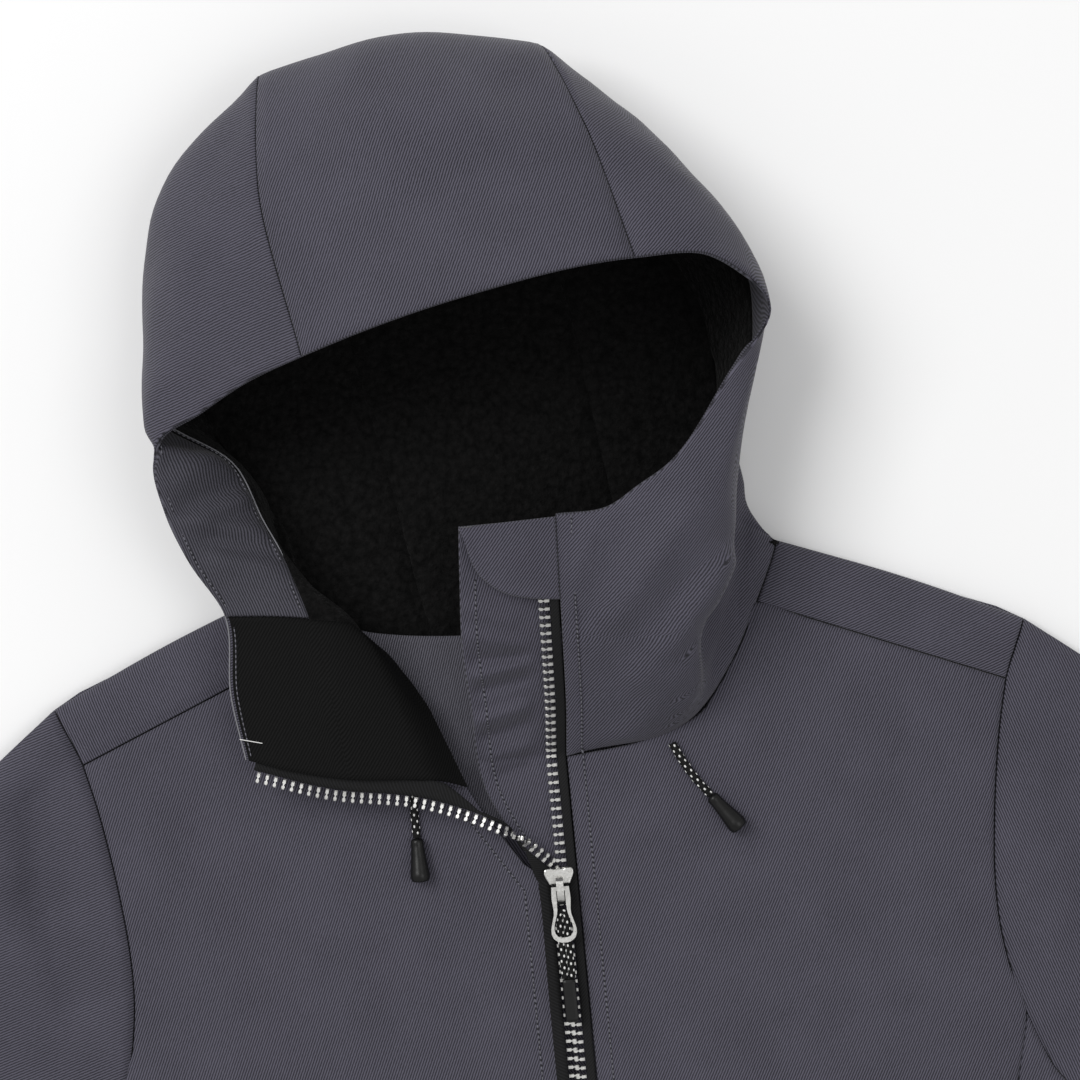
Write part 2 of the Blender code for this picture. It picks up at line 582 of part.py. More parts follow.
def build_drawcords(cord, plastic):
    """Both drawcords and their end pieces, lying on the fronts."""
    thin, thick = CORD_END_RADII
    for tag, route in (("left", CORD_LEFT), ("right", CORD_RIGHT)):
        line = on_top(route, CORD_DIAMETER / 2 + SEAM)
        tube(f"drawcord_{tag}", line, CORD_DIAMETER, 9, cord)
        way = np.array(route[-1], float) - route[-2]
        way /= np.linalg.norm(way)
        middle = np.array(route[-1]) + way * (CORD_END_LENGTH / 2 + SEAM)
        x, y, z = on_top([middle], thick + SEAM * 2)[0]
        shape = bmesh.new()
        depth = CORD_END_LENGTH * MM
        bmesh.ops.create_cone(
            shape, cap_ends=True, segments=12, radius1=thick * MM, radius2=thin * MM, depth=depth
        )
        data = bpy.data.meshes.new(f"cord_end_{tag}")
        shape.to_mesh(data)
        shape.free()
        data.shade_smooth()
        data.set_sharp_from_angle(angle=SHARP_ANGLE)
        made = add(f"cord_end_{tag}", data, plastic)
        made.location = (x * MM, y * MM, z * MM)
        made.rotation_euler = (math.pi / 2, 0, math.atan2(way[1], way[0]) + math.pi / 2 + math.pi)
        edge = made.modifiers.new("edge", "BEVEL")
        edge.width = CORD_END_ROUND * MM
        edge.segments = 3


def tapered_block(name, size, widths, place, finish, rounding):
    """A rounded block whose lower and upper ends differ in width."""
    shape = bmesh.new()
    bmesh.ops.create_cube(shape, size=1.0)
    for vertex in shape.verts:
        width = widths[1] if vertex.co.y > 0 else widths[0]
        vertex.co = (vertex.co.x * width * MM, vertex.co.y * size[0] * MM, vertex.co.z * size[1] * MM)
    data = bpy.data.meshes.new(name)
    shape.to_mesh(data)
    shape.free()
    made = add(name, data, finish)
    made.location = [value * MM for value in place]
    edge = made.modifiers.new("edge", "BEVEL")
    edge.width = rounding * MM
    edge.segments = 2
    return made


def both_sides(rows):
    """A closed plan outline from rows of distance below the pivot and half width."""
    half = curve([(wide, -along) for along, wide in rows], 14)
    return np.concatenate([half, (half * (-1, 1))[::-1]])


def build_pull(metal, cord, plastic):
    """Slider, its bridge, the pull tab that swings on it, and the tab's cord."""
    seat = cloth_edge(SLIDER_Y + SLIDER_LENGTH / 2)[1] - TAPE_DROP + TEETH / 2 + SEAM
    top = seat + SLIDER_HEIGHT
    size = (SLIDER_LENGTH, SLIDER_HEIGHT)
    place = (0, SLIDER_Y, seat + SLIDER_HEIGHT / 2)
    tapered_block("slider", size, SLIDER_WIDTHS, place, metal, SLIDER_ROUND)
    arch = np.concatenate([curve(BRIDGE_OUTER, 15), curve(BRIDGE_INNER, 13)])
    bridge = flat_panel("slider_bridge", arch, BRIDGE_WIDTH, metal)
    bridge.location = (0, PIVOT_Y * MM, (top + SEAM) * MM)
    bridge.rotation_euler = (math.pi / 2, 0, math.pi / 2)
    pivot = (0, PIVOT_Y * MM, (top + PIVOT_HEIGHT) * MM)
    opening = both_sides(PULL_OPENING)
    tab = flat_panel("pull_tab", both_sides(PULL_OUTSIDE), PULL_THICK, metal, holes=(opening,))
    tab.location = pivot
    loop = tube("pull_cord", PULL_CORD, PULL_CORD_DIAMETER, 30, cord)
    loop.parent = tab
    width, length, height = PULL_SLEEVE
    _, y, z = PULL_CORD[0]
    place = (0, y - length / 2 - SEAM, z)
    sleeve = tapered_block("pull_end", (length, height), (width, width), place, plastic, PULL_SLEEVE_ROUND)
    sleeve.parent = tab


def main():
    """Build every piece."""
    for old in list(bpy.data.objects):
        bpy.data.objects.remove(old)
    bpy.context.scene.collection.children.link(bpy.data.collections.new(COLLECTION))
    cloth = material("grey_twill", (0.072, 0.070, 0.090), 0.75)
    black = material("black_twill", (0.012, 0.012, 0.012), 0.8)
    pile = material("black_pile", (0.006, 0.006, 0.006), 0.95)
    build_body(cloth)
    build_hood(cloth, black, pile)
    build_inner_cloth(cloth)
    tape = material("zip_tape", (0.010, 0.010, 0.011), 0.8)
    metal = material("silver_metal", (0.62, 0.62, 0.60), 0.35, 1.0)
    cord = material("black_cord", (0.012, 0.012, 0.012), 0.8)
    plastic = material("black_plastic", (0.010, 0.010, 0.010), 0.5)
    build_zip(tape, metal)
    build_drawcords(cord, plastic)
    build_pull(metal, cord, plastic)


main()
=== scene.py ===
"""Hooded insulated jacket laid flat on its back, seen straight down on a pale floor.

Sizes are in millimetres and turn into metres where meshes are made.
+X is right in the view, +Y towards the hood.
"""

import json
import math

import bpy
import numpy as np
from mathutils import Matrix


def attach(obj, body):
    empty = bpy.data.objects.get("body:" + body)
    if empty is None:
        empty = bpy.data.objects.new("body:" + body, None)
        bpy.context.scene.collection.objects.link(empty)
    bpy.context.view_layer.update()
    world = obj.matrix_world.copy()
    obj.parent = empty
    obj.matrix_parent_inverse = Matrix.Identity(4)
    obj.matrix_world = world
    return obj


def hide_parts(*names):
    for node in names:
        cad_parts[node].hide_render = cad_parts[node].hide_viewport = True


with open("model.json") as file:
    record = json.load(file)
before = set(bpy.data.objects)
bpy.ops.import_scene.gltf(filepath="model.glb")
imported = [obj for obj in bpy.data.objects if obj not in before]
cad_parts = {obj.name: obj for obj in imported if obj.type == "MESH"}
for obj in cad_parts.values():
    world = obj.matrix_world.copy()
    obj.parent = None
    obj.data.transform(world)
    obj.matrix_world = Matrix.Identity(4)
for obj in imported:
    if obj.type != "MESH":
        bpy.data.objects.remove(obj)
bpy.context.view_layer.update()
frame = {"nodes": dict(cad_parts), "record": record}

# Sizes shared with the solids
MM = 0.001
SEAM = 0.3
LAYER = 6.0
SHELL = 2.0
FACING = 1.4
PILE = 4.5
LOFT = 9.0
NECK_LIFT = 8.0
NECK_LIFT_Y, NECK_LIFT_WIDE, NECK_LIFT_LONG = 30.0, 90.0, 80.0
EDGE_ROUND = 20.0
EDGE_HEIGHT = 1.2
FACING_WIDTH = 52.0
FRONT_EDGE = 9.0
HEM_Y = -625.0
SHOULDER = [(119, 95), (178, 72), (235, 46)]
ARMHOLE = [(235, 46), (223, 18), (216, -15), (211, -50), (209, -97), (218, -143), (232, -175), (262, -200)]
SIDE_FOLD = [(262, -200), (273, -270), (277, -380), (274, -510), (270, -625)]
SIDE_SEAM = [(218, -143), (210, -173), (205, -250), (200, -400), (205, -625)]
SLEEVE_OUTER = [
    (235, 46), (290, 2), (345, -50), (395, -115), (430, -190), (460, -280), (490, -380), (534, -547),
]
SLEEVE_INNER = [(262, -200), (284, -232), (312, -290), (358, -410), (410, -600)]
ARMHOLE_YOKE_ROW = 1
ARMHOLE_SIDE_ROW = 5
SIDE_ROWS, SLEEVE_ROWS = 10, 15
TO_FOLD = (0, 0.4, 0.7, 0.9, 1)
ARMHOLE_FADE = 10
OPEN_Y = -60.0

# Hood ribs from the left zip edge over the crown to the right zip edge: rim, crest, side, back, neck.
# Rows 3 to 7, counted from 0, lie up to 9.4 mm from the solids' ribs, closer to the cloth at the left fold.
HOOD_RIBS = [
    ((-142, 15, 35), (-119, 7, 38), (-94, 1, 38), (-61, -3, 34), (-42, -10, 22)),
    ((-146, 46, 39), (-123, 44, 41), (-99, 42, 41), (-73, 39, 36), (-60, 34, 22)),
    ((-145, 84, 44), (-126, 82, 44), (-105, 78, 41), (-87, 72, 34), (-80, 62, 20)),
    ((-160, 112, 53), (-139, 108, 47), (-114, 100, 38), (-106, 85, 26), (-107, 66, 17)),
    ((-168, 134, 58), (-148, 131, 48), (-126, 124, 32), (-122, 110, 16), (-119, 95, 8)),
    ((-171, 157, 62), (-155, 155, 52), (-136, 150, 30), (-127, 134, 5), (-105, 78, 0)),
    ((-168, 167, 67), (-173, 174, 57), (-173, 182, 36), (-149, 177, 0), (-93, 72, 0)),
    ((-145, 179, 75), (-165, 199, 62), (-172, 220, 35), (-152, 206, 0), (-81, 68, 0)),
    ((-122, 190, 86), (-143, 246, 76), (-159, 283, 40), (-139, 262, 0), (-66, 65, 0)),
    ((-95, 199, 95), (-108, 282, 86), (-105, 337, 42), (-98, 315, 0), (-50, 63, 0)),
    ((-18, 218, 115), (-28, 295, 103), (-35, 349, 45), (-36, 328, 0), (0, 61, 0)),
    ((61, 229, 112), (44, 296, 92), (27, 339, 42), (21, 318, 0), (50, 63, 0)),
    ((97, 228, 102), (90, 265, 84), (73, 291, 42), (58, 268, 0), (81, 68, 0)),
    ((123, 201, 78), (122, 211, 66), (118, 217, 40), (99, 201, 0), (105, 78, 0)),
    ((99, 171, 82), (109, 165, 74), (102, 136, 52), (93, 117, 26), (119, 95, 8)),
    ((67, 134, 85), (83, 115, 82), (94, 88, 62), (83, 81, 38), (107, 66, 17)),
    ((53, 126, 84), (70, 104, 82), (86, 71, 64), (77, 59, 38), (94, 41, 19)),
    ((39, 118, 82), (57, 93, 80), (72, 60, 66), (75, 32, 42), (72, 14, 21)),
    ((14, 116, 80), (13, 89, 71), (12, 59, 58), (11, 29, 40), (9, 1, 23)),
]
STATIONS = 12  # grid rows for each rib
RIB_STEPS = (13, 15, 14, 26)  # grid steps over the facing, then to the side, the back and the neck seam
RIB_LEFT_TURN, RIB_LEFT_YOKE, RIB_LEFT_NECK, RIB_LEFT_SEAM = 2, 3, 4, 9
RIB_RIGHT_SEAM, RIB_RIGHT_NECK, RIB_RIGHT_YOKE, RIB_RIGHT_END = 11, 14, 15, 18

# Where the hood differs from the solids: it meets the sunk edge of the fronts closer, and its facing is wider
NECK_GAP, NECK_SINK, NECK_REACH = 0.15, 1.3, 0.6
FACING_SHARE = 0.97

# Large folds, as in the solids: start x, y, end x, y, height, half width
FOLDS = [
    (-249, 4, -249, -44, -5.0, 11.0),
    (-249, -44, -238, -95, -4.0, 11.0),
    (-296, -40, -330, -150, 3.5, 22.0),
    (250, -20, 262, -110, -3.0, 14.0),
    (300, -60, 345, -190, 3.0, 24.0),
    (425, -230, 350, -300, -4.0, 12.0),
    (445, -285, 372, -345, -3.5, 12.0),
    (-425, -240, -350, -310, -4.0, 12.0),
    (-450, -300, -380, -350, -3.5, 12.0),
    (140, -330, 60, -560, 3.0, 40.0),
    (-120, -300, -70, -540, 3.0, 42.0),
]

# Zip, flap, garage and cords; the left tape and the drawcords have other widths than the solids
LEFT_ZIP = [
    (-2.2, -50.5, 16.2), (-17, -36, 24), (-36, -24, 31), (-60, -14, 35), (-104, -5, 38), (-140, 7, 36),
]
LEFT_ZIP_TWIST = (0.06, 0.26)  # shares of its length between which it turns over
# Shares along the left tape, and how much of its width shows there: it is folded away where it turns
LEFT_TAPE_SHOWS = (0, 0.1, 0.3, 0.42, 1), (1, 0.15, 0.15, 1, 1)
RIGHT_ZIP_TOP = 80.0
TAPE, TAPE_DROP = 1.2, 1.5
TEETH_WIDTH = 4.0
TAPE_EDGE = 8.6
TAPE_EDGE_SEWN = 13.5  # the left tape reaches into the opened collar
FLAP_EDGE = [(-54, -5), (-34, -20), (-12, -31), (30, -34), (61, -35), (90, -33), (115, -31)]
FLAP, FLAP_DROP = 1.8, 5.4
GARAGE_EDGE = [(-29, 109), (-24, 92), (-15, 83), (0, 78), (9, 77)]
GARAGE_TOP = [(-31, 114.5), (13, 115.5)]
GARAGE_LIFT = 1.8
NECK_FACING_RIBS = (5.5, 12.7)
NECK_LAP = 1.2
NECK_FACING_EDGE = [(-96, 70), (-84, 5), (0, -32), (84, 5), (96, 70)]
CORD_DIAMETER = 3.7
CORD_RIGHT = [(60, 2.5), (64, -6), (70, -16), (76, -24)]
CORD_LEFT = [(-60, 6), (-64, -5), (-66, -18), (-66, -31)]
PULL_CORD_DIAMETER = 3.2
PULL_CORD_X, PULL_CORD_TOP, PULL_CORD_END, PULL_CORD_DROP = 1.75, -10.9, -43.2, -2.7

# Angle of the twill's ribs on each piece, in degrees
TWILL = {
    "back": 118, "front_left": 66, "front_right": 62, "side_left": 66, "side_right": 62,
    "yoke_left": 110, "yoke_right": 20, "sleeve_upper_left": 17, "sleeve_under_left": 17,
    "sleeve_upper_right": 109, "sleeve_under_right": 109, "hood_side_left": 17, "hood_crown": 65,
    "hood_side_right": 46, "collar_facing": 57, "hood_facing": 110, "wind_flap": 67, "zip_garage": 50,
    "neck_facing": 71, "zip_tape_left": 45, "zip_tape_right": 45,
}

# Finish of the cloth
FOLD_POINTS = 240  # points along each folded edge
REFINE, REFINE_BACK, REFINE_UNDER = 8, 2, 3  # fine grid steps for each step of the solids' grids
PANEL_SEEDS = (3, 5, 7, 9)  # of the ripple on the left front, yoke, side and sleeve; the right ones follow
EDGE_SOFT = 0.35  # how far a cloth edge rounds over
SEAM_DIP, SEAM_DIP_WIDTH = 1.1, 3.2  # panels sink beside their seams
LEAST_APART = 0.05  # keeps the spreading of steep cloth steady
LEAST_SHEET = 10.0  # narrower strips aren't sheets
RIPPLE = 0.35  # height of the slight unevenness of all cloth
COARSE, RELAX_ROUNDS = 36, 250  # grid lines and rounds for laying curved cloth flat
RELAX_STEP = 0.125  # share of a length's error that each round takes up
# Cloth whose normal points up less than the first keeps its plan there; above the second it is spread fully
STEEP, LEVEL = 0.25, 0.7
SEAM_DRAW = SEAM * 0.6  # how far a grid's border moves in at a seam
NEAREST_PARTS = 40  # distances are worked out in parts, to save memory
LEAST_AREA = 0.3  # a sheet covers at least this share of its flat box
LEAST_WALL = 0.5  # a dent leaves at least this much cloth
PANEL_CALM = 14.0  # unevenness fades out this near a panel's edge
RIPPLE_WAVES, RIPPLE_LENGTHS, RIPPLE_SHARE = 18, (24, 95), 0.25
SOFT_HOOD, SOFT_TAPE = 0.5, 0.2  # how far the edges of hood, flap and tapes round over


def steady_slope(knots, values):
    """Slopes at the knots that keep a curve from swinging past its own points."""
    step = np.diff(values, axis=0) / np.diff(knots)[:, None]
    product = np.maximum(step[1:] * step[:-1], 0)
    total = step[1:] + step[:-1]
    inside = 2 * product / np.where(product > 0, total, 1)
    return np.concatenate([step[:1], inside, step[-1:]])


def free_slope(knots, values):
    """Slopes at the knots of a plain smooth curve."""
    return np.gradient(values, knots, axis=0)


def smooth(knots, values, at, slopes=free_slope):
    """Cubic curve through the rows of values at rising knots, read at the places in at."""
    values = np.asarray(values, float)
    slope = slopes(knots, values)
    low = np.clip(np.searchsorted(knots, at, side="right") - 1, 0, len(knots) - 2)
    step = (knots[low + 1] - knots[low])[:, None]
    f = (at[:, None] - knots[low][:, None]) / step
    start = values[low] * (1 + 2 * f) * (1 - f) ** 2 + slope[low] * step * f * (1 - f) ** 2
    return start + values[low + 1] * f * f * (3 - 2 * f) + slope[low + 1] * step * f * f * (f - 1)


def chord(points):
    """Distance along a row of points, from 0."""
    points = np.asarray(points, float)
    return np.concatenate([[0.0], np.cumsum(np.linalg.norm(np.diff(points, axis=0), axis=1))])


def curve(points, count):
    """A smooth curve through the points, as count even stations."""
    points = np.asarray(points, float)
    knots = chord(points)
    return smooth(knots, points, np.linspace(0.0, knots[-1], count))


def joined(*stretches):
    """Stretches that follow each other, as one line without doubled ends."""
    return np.concatenate([stretches[0]] + [s[1:] for s in stretches[1:]])


def unit(vectors):
    """Vectors of length 1."""
    return vectors / np.linalg.norm(vectors, axis=-1, keepdims=True)


def even(line, step):
    """Points at even steps along a line, and its direction there."""
    places = chord(line)
    at = np.arange(step / 2, places[-1], step)
    points = np.stack([np.interp(at, places, line[:, k]) for k in range(3)], axis=1)
    ways = np.stack([np.interp(at, places, np.gradient(line[:, k], places)) for k in range(3)], axis=1)
    return points, unit(ways)


def rib_controls(row):
    """The five control points of the hood at a rib number, which may lie between two ribs.

    The rim and the neck run smoothly over the seams; between them each panel is curved on its own.
    """
    table = np.array(HOOD_RIBS, float)
    ends = (0, RIB_LEFT_SEAM, RIB_RIGHT_SEAM, RIB_RIGHT_END)
    panel = next((first, last) for first, last in zip(ends, ends[1:]) if row <= last)
    controls = []
    for number, line in enumerate(table.swapaxes(0, 1)):
        first, last = panel if 0 < number < table.shape[1] - 1 else (0, RIB_RIGHT_END)
        line = line[first : last + 1]
        knots = chord(line)
        place = np.interp(row, np.arange(first, last + 1), knots)
        controls.append(smooth(knots, line, np.array([place]))[0])
    return np.array(controls)


def neck_line(first, last, count):
    """Plan of the neck seam between two rib numbers."""
    return np.array([rib_controls(row)[-1, :2] for row in np.linspace(first, last, count)])


def folded_edges():
    """Plan points along every edge where the top layer folds under."""
    right = [curve(line, FOLD_POINTS) for line in (SHOULDER, SLEEVE_OUTER, SLEEVE_INNER, SIDE_FOLD)]
    right = np.concatenate(right)
    return np.concatenate([right, right * (-1, 1)])


FOLDED_EDGES = folded_edges()


def folds_over(table, x, y):
    """Sum of a table's folds at plan points."""
    total = np.zeros_like(x)
    for x0, y0, x1, y1, height, half_width in table:
        dx, dy = x1 - x0, y1 - y0
        along = np.clip(((x - x0) * dx + (y - y0) * dy) / (dx * dx + dy * dy), 0, 1)
        apart = np.hypot(x - x0 - along * dx, y - y0 - along * dy)
        total += height * np.exp(-((apart / half_width) ** 2))
    return total


def nearest(points, line):
    """Distance from each point (..., n) to the closest of a line's points."""
    flat = points.reshape(-1, points.shape[-1])
    parts = np.array_split(flat, NEAREST_PARTS)
    apart = [np.linalg.norm(part[:, None] - line, axis=-1).min(axis=1) for part in parts]
    return np.concatenate(apart).reshape(points.shape[:-1])


def top_height(plan):
    """Height of the garment's top surface over plan points (..., 2)."""
    plan = np.asarray(plan, float)
    x, y = plan[..., 0], plan[..., 1]
    apart = nearest(plan.reshape(-1, 2), FOLDED_EDGES).reshape(x.shape)
    round_off = np.sqrt(1 - (1 - np.clip(apart / EDGE_ROUND, 0, 1)) ** 2)
    from_neck = (x / NECK_LIFT_WIDE) ** 2 + ((y - NECK_LIFT_Y) / NECK_LIFT_LONG) ** 2
    loft = LOFT + NECK_LIFT * np.exp(-from_neck) + folds_over(FOLDS, x, y)
    return LAYER + SEAM + EDGE_HEIGHT + (loft - EDGE_HEIGHT) * round_off


def coons(bottom, top, left, right):
    """Plan grid between four edges: bottom and top run across, left and right run from bottom to top."""
    s = np.linspace(0, 1, len(bottom))[None, :, None]
    t = np.linspace(0, 1, len(left))[:, None, None]
    ruled = bottom[None] * (1 - t) + top[None] * t + left[:, None] * (1 - s) + right[:, None] * s
    corners = (bottom[0] * (1 - s) + bottom[-1] * s) * (1 - t) + (top[0] * (1 - s) + top[-1] * s) * t
    return ruled - corners


def drawn_in(grid, gap=SEAM_DRAW):
    """The grid with its border moved in."""
    out = grid.copy()
    for border, inside in ((0, 1), (-1, -2)):
        step = grid[inside] - grid[border]
        out[border] += step / np.linalg.norm(step, axis=-1, keepdims=True) * gap
        step = grid[:, inside] - grid[:, border]
        out[:, border] += step / np.linalg.norm(step, axis=-1, keepdims=True) * gap
    return out


def armhole(first, last, shares):
    """Points of the armhole seam at shares of the stretch between two of its rows."""
    knots = chord(ARMHOLE)
    return smooth(knots, ARMHOLE, knots[first] + (knots[last] - knots[first]) * np.asarray(shares))


def yoke_armhole():
    """Where the yoke meets the sleeve, from the shoulder down."""
    return armhole(0, ARMHOLE_YOKE_ROW, np.linspace(0, 1, 5))


def front_armhole():
    """Where a front meets the sleeve, from the yoke seam down."""
    return armhole(ARMHOLE_YOKE_ROW, ARMHOLE_SIDE_ROW, np.linspace(0, 1, 8))


def side_armhole():
    """Where a side panel meets the sleeve, down to the underarm."""
    return armhole(ARMHOLE_SIDE_ROW, len(ARMHOLE) - 1, TO_FOLD)


def front_plan(right):
    """Plan grid of one front, from the hem up."""
    side = 1 if right else -1
    outer = joined(curve(SIDE_SEAM, SIDE_ROWS)[::-1], front_armhole()[::-1]) * (side, 1)
    neck = neck_line(RIB_RIGHT_END, RIB_RIGHT_YOKE, 7) if right else neck_line(0, RIB_LEFT_YOKE, 10)
    top = joined(neck, np.linspace(neck[-1], outer[-1], 6))
    start = np.array([side * FRONT_EDGE, HEM_Y])
    turn = np.array([side * FRONT_EDGE, OPEN_Y])
    inner = joined(np.linspace(start, turn, len(outer) - 5), np.linspace(turn, neck[0], 6))
    return coons(np.linspace(start, outer[0], len(top)), top, inner, outer)


def yoke_plan(right):
    """Plan grid of one forward shoulder panel, from its seam to the shoulder fold."""
    side = 1 if right else -1
    outer = yoke_armhole()[::-1] * (side, 1)
    first, last = (RIB_RIGHT_YOKE, RIB_RIGHT_NECK) if right else (RIB_LEFT_YOKE, RIB_LEFT_NECK)
    neck = neck_line(first, last, len(outer))
    fold = curve(SHOULDER, 9) * (side, 1)
    return coons(np.linspace(neck[0], outer[0], len(fold)), fold, neck, outer)


def side_plan(right):
    """Plan grid of one side panel, from the hem up to the armhole."""
    seam = curve(SIDE_SEAM, SIDE_ROWS)[::-1]
    fold = curve(SIDE_FOLD, SIDE_ROWS)[::-1]
    bottom = seam[0] + (fold[0] - seam[0]) * np.array(TO_FOLD)[:, None]
    return coons(bottom, side_armhole(), seam, fold) * (1 if right else -1, 1)


def sleeve_plan(right):
    """Plan grid of one sleeve: straight rows across it, the first ones bowed to fit the armhole."""
    seam = joined(yoke_armhole(), front_armhole(), side_armhole())
    shares = (chord(seam) / chord(seam)[-1])[None, :, None]
    outer = curve(SLEEVE_OUTER, SLEEVE_ROWS)[:, None]
    inner = curve(SLEEVE_INNER, SLEEVE_ROWS)[:, None]
    rows = outer + (inner - outer) * shares
    fade = np.linspace(1, 0, SLEEVE_ROWS)[:, None, None] ** ARMHOLE_FADE
    return (rows + (seam - rows[0]) * fade) * (1 if right else -1, 1)


def back_plan():
    """Plan grid of the back, from the hem to the neck seam."""
    half = joined(curve(SIDE_FOLD, 12)[::-1], curve(ARMHOLE, 16)[::-1], curve(SHOULDER, 5)[::-1])
    neck = neck_line(RIB_LEFT_NECK, RIB_RIGHT_NECK, 41)
    hem = np.linspace((-half[0, 0], HEM_Y), half[0], len(neck))
    return coons(hem, neck, half * (-1, 1), half)


def refined(grid, steps):
    """The grid with each of its steps divided, along smooth lines both ways."""
    for axis in (0, 1):
        turned = grid.swapaxes(0, axis)
        count = len(turned)
        at = np.linspace(0, count - 1, (count - 1) * steps + 1)
        fine = smooth(np.arange(count, dtype=float), turned.reshape(count, -1), at)
        grid = fine.reshape(len(at), turned.shape[1], -1).swapaxes(0, axis)
    return grid


def rib_line(row):
    """Points of the hood's outer surface along one rib, from rim to neck, one of them on its widest place."""
    controls = rib_controls(row)
    if row <= RIB_LEFT_NECK or row >= RIB_RIGHT_NECK:
        controls[-1, 2] = top_height(controls[-1, :2]) + NECK_GAP - NECK_SINK
    knots = chord(controls)
    face = min(FACING_WIDTH, FACING_SHARE * knots[2])
    stops = (0, face, knots[2], knots[3], knots[-1] + NECK_REACH)
    places = joined(*(np.linspace(a, b, steps + 1) for a, b, steps in zip(stops, stops[1:], RIB_STEPS)))
    points = smooth(knots, controls, places, steady_slope)
    points[:, 2] = np.maximum(points[:, 2], 0.0)
    return points


def cloth_edge(y):
    """x and z of the right front's and collar's edge beside the zip."""
    y = np.asarray(y, float)
    rib = rib_line(RIB_RIGHT_END)[::-1]
    front = top_height(np.stack([np.full_like(y, FRONT_EDGE), y], axis=-1))
    above = y > rib[0, 1]
    x = np.where(above, np.interp(y, rib[:, 1], rib[:, 0]), FRONT_EDGE)
    return x, np.where(above, np.interp(y, rib[:, 1], rib[:, 2]), front)


def ripple(x, y, seed):
    """Slight unevenness of laid cloth, about 1 high and low, as a sum of fixed waves."""
    waves = np.random.default_rng(seed)
    total = np.zeros_like(x)
    for _ in range(RIPPLE_WAVES):
        angle = waves.uniform(0, math.tau)
        length = waves.uniform(*RIPPLE_LENGTHS)
        phase = waves.uniform(0, math.tau)
        total += np.sin((x * math.cos(angle) + y * math.sin(angle)) * math.tau / length + phase)
    return total * RIPPLE_SHARE


def border(grid):
    """The grid's outer points, once round."""
    return np.concatenate([grid[0, :-1], grid[:-1, -1], grid[-1, :0:-1], grid[:0:-1, 0]])


def turned_uv(flat, degrees):
    """Flat positions in metres, turned so that the twill's ribs run along v."""
    angle = math.radians(degrees)
    u = flat[..., 0] * math.sin(angle) - flat[..., 1] * math.cos(angle)
    v = flat[..., 0] * math.cos(angle) + flat[..., 1] * math.sin(angle)
    return np.stack([u, v], axis=-1) * MM


def rolled_out(grid):
    """Flat positions for a curved grid, measured along its lines from its middle row."""
    across = np.zeros(grid.shape[:2])
    along = np.zeros(grid.shape[:2])
    across[1:] = np.cumsum(np.linalg.norm(np.diff(grid, axis=0), axis=-1), axis=0)
    along[:, 1:] = np.cumsum(np.linalg.norm(np.diff(grid, axis=1), axis=-1), axis=1)
    return np.stack([across - across[len(grid) // 2], along], axis=-1)


def relaxed(flat, points, hold, rounds):
    """Flat positions moved until lines and diagonals have their true lengths, as far as hold is near 1."""
    whole, head, tail = slice(None), slice(1, None), slice(None, -1)
    pairs = [((head, whole), (tail, whole)), ((whole, head), (whole, tail))]
    pairs += [((head, head), (tail, tail)), ((head, tail), (tail, head))]
    lengths = [np.linalg.norm(points[a] - points[b], axis=-1) for a, b in pairs]
    for _ in range(rounds):
        push = np.zeros_like(flat)
        for (a, b), length in zip(pairs, lengths):
            apart = flat[a] - flat[b]
            short = length / np.maximum(np.linalg.norm(apart, axis=-1), LEAST_APART) - 1
            move = apart * (short * np.minimum(hold[a], hold[b]))[..., None] * RELAX_STEP
            push[a] += move
            push[b] -= move
        flat = flat + push
    return flat


def flattened(points):
    """Flat positions for a curved grid: its plan, spread until the lengths are true."""
    rows, columns = (np.unique(np.linspace(0, n - 1, COARSE).astype(int)) for n in points.shape[:2])
    coarse = points[np.ix_(rows, columns)]
    upward = unit(np.cross(np.gradient(coarse, axis=0), np.gradient(coarse, axis=1)))[..., 2]
    hold = np.clip((upward * np.sign(upward.sum()) - STEEP) / (LEVEL - STEEP), 0, 1)
    flat = relaxed(coarse[..., :2], coarse, hold, RELAX_ROUNDS)
    for axis, places in ((0, rows), (1, columns)):
        turned = flat.swapaxes(0, axis)
        knots, values = places.astype(float), turned.reshape(len(places), -1)
        fine = smooth(knots, values, np.arange(points.shape[axis]), steady_slope)
        flat = fine.reshape(points.shape[axis], turned.shape[1], -1).swapaxes(0, axis)
    return flat


def mesh_object(name, points, faces, material, uv=None, flat_shaded=False):
    """A mesh from points in millimetres, faces and one flat position for each point."""
    data = bpy.data.meshes.new(name)
    data.from_pydata((points * MM).tolist(), [], faces)
    if uv is not None:
        layer = data.uv_layers.new(name="cloth")
        corners = np.empty(len(data.loops), dtype=np.int32)
        data.loops.foreach_get("vertex_index", corners)
        layer.data.foreach_set("uv", uv[corners].astype(np.float32).ravel())
    data.materials.append(material)
    if not flat_shaded:
        data.shade_smooth()
    made = bpy.data.objects.new(name, data)
    bpy.context.scene.collection.objects.link(made)
    return made


def grid_faces(rows, columns, first=0):
    """Quads of a grid of points."""
    place = first + np.arange(rows * columns).reshape(rows, columns)
    return np.stack([place[:-1, :-1], place[:-1, 1:], place[1:, 1:], place[1:, :-1]], axis=-1).reshape(-1, 4)


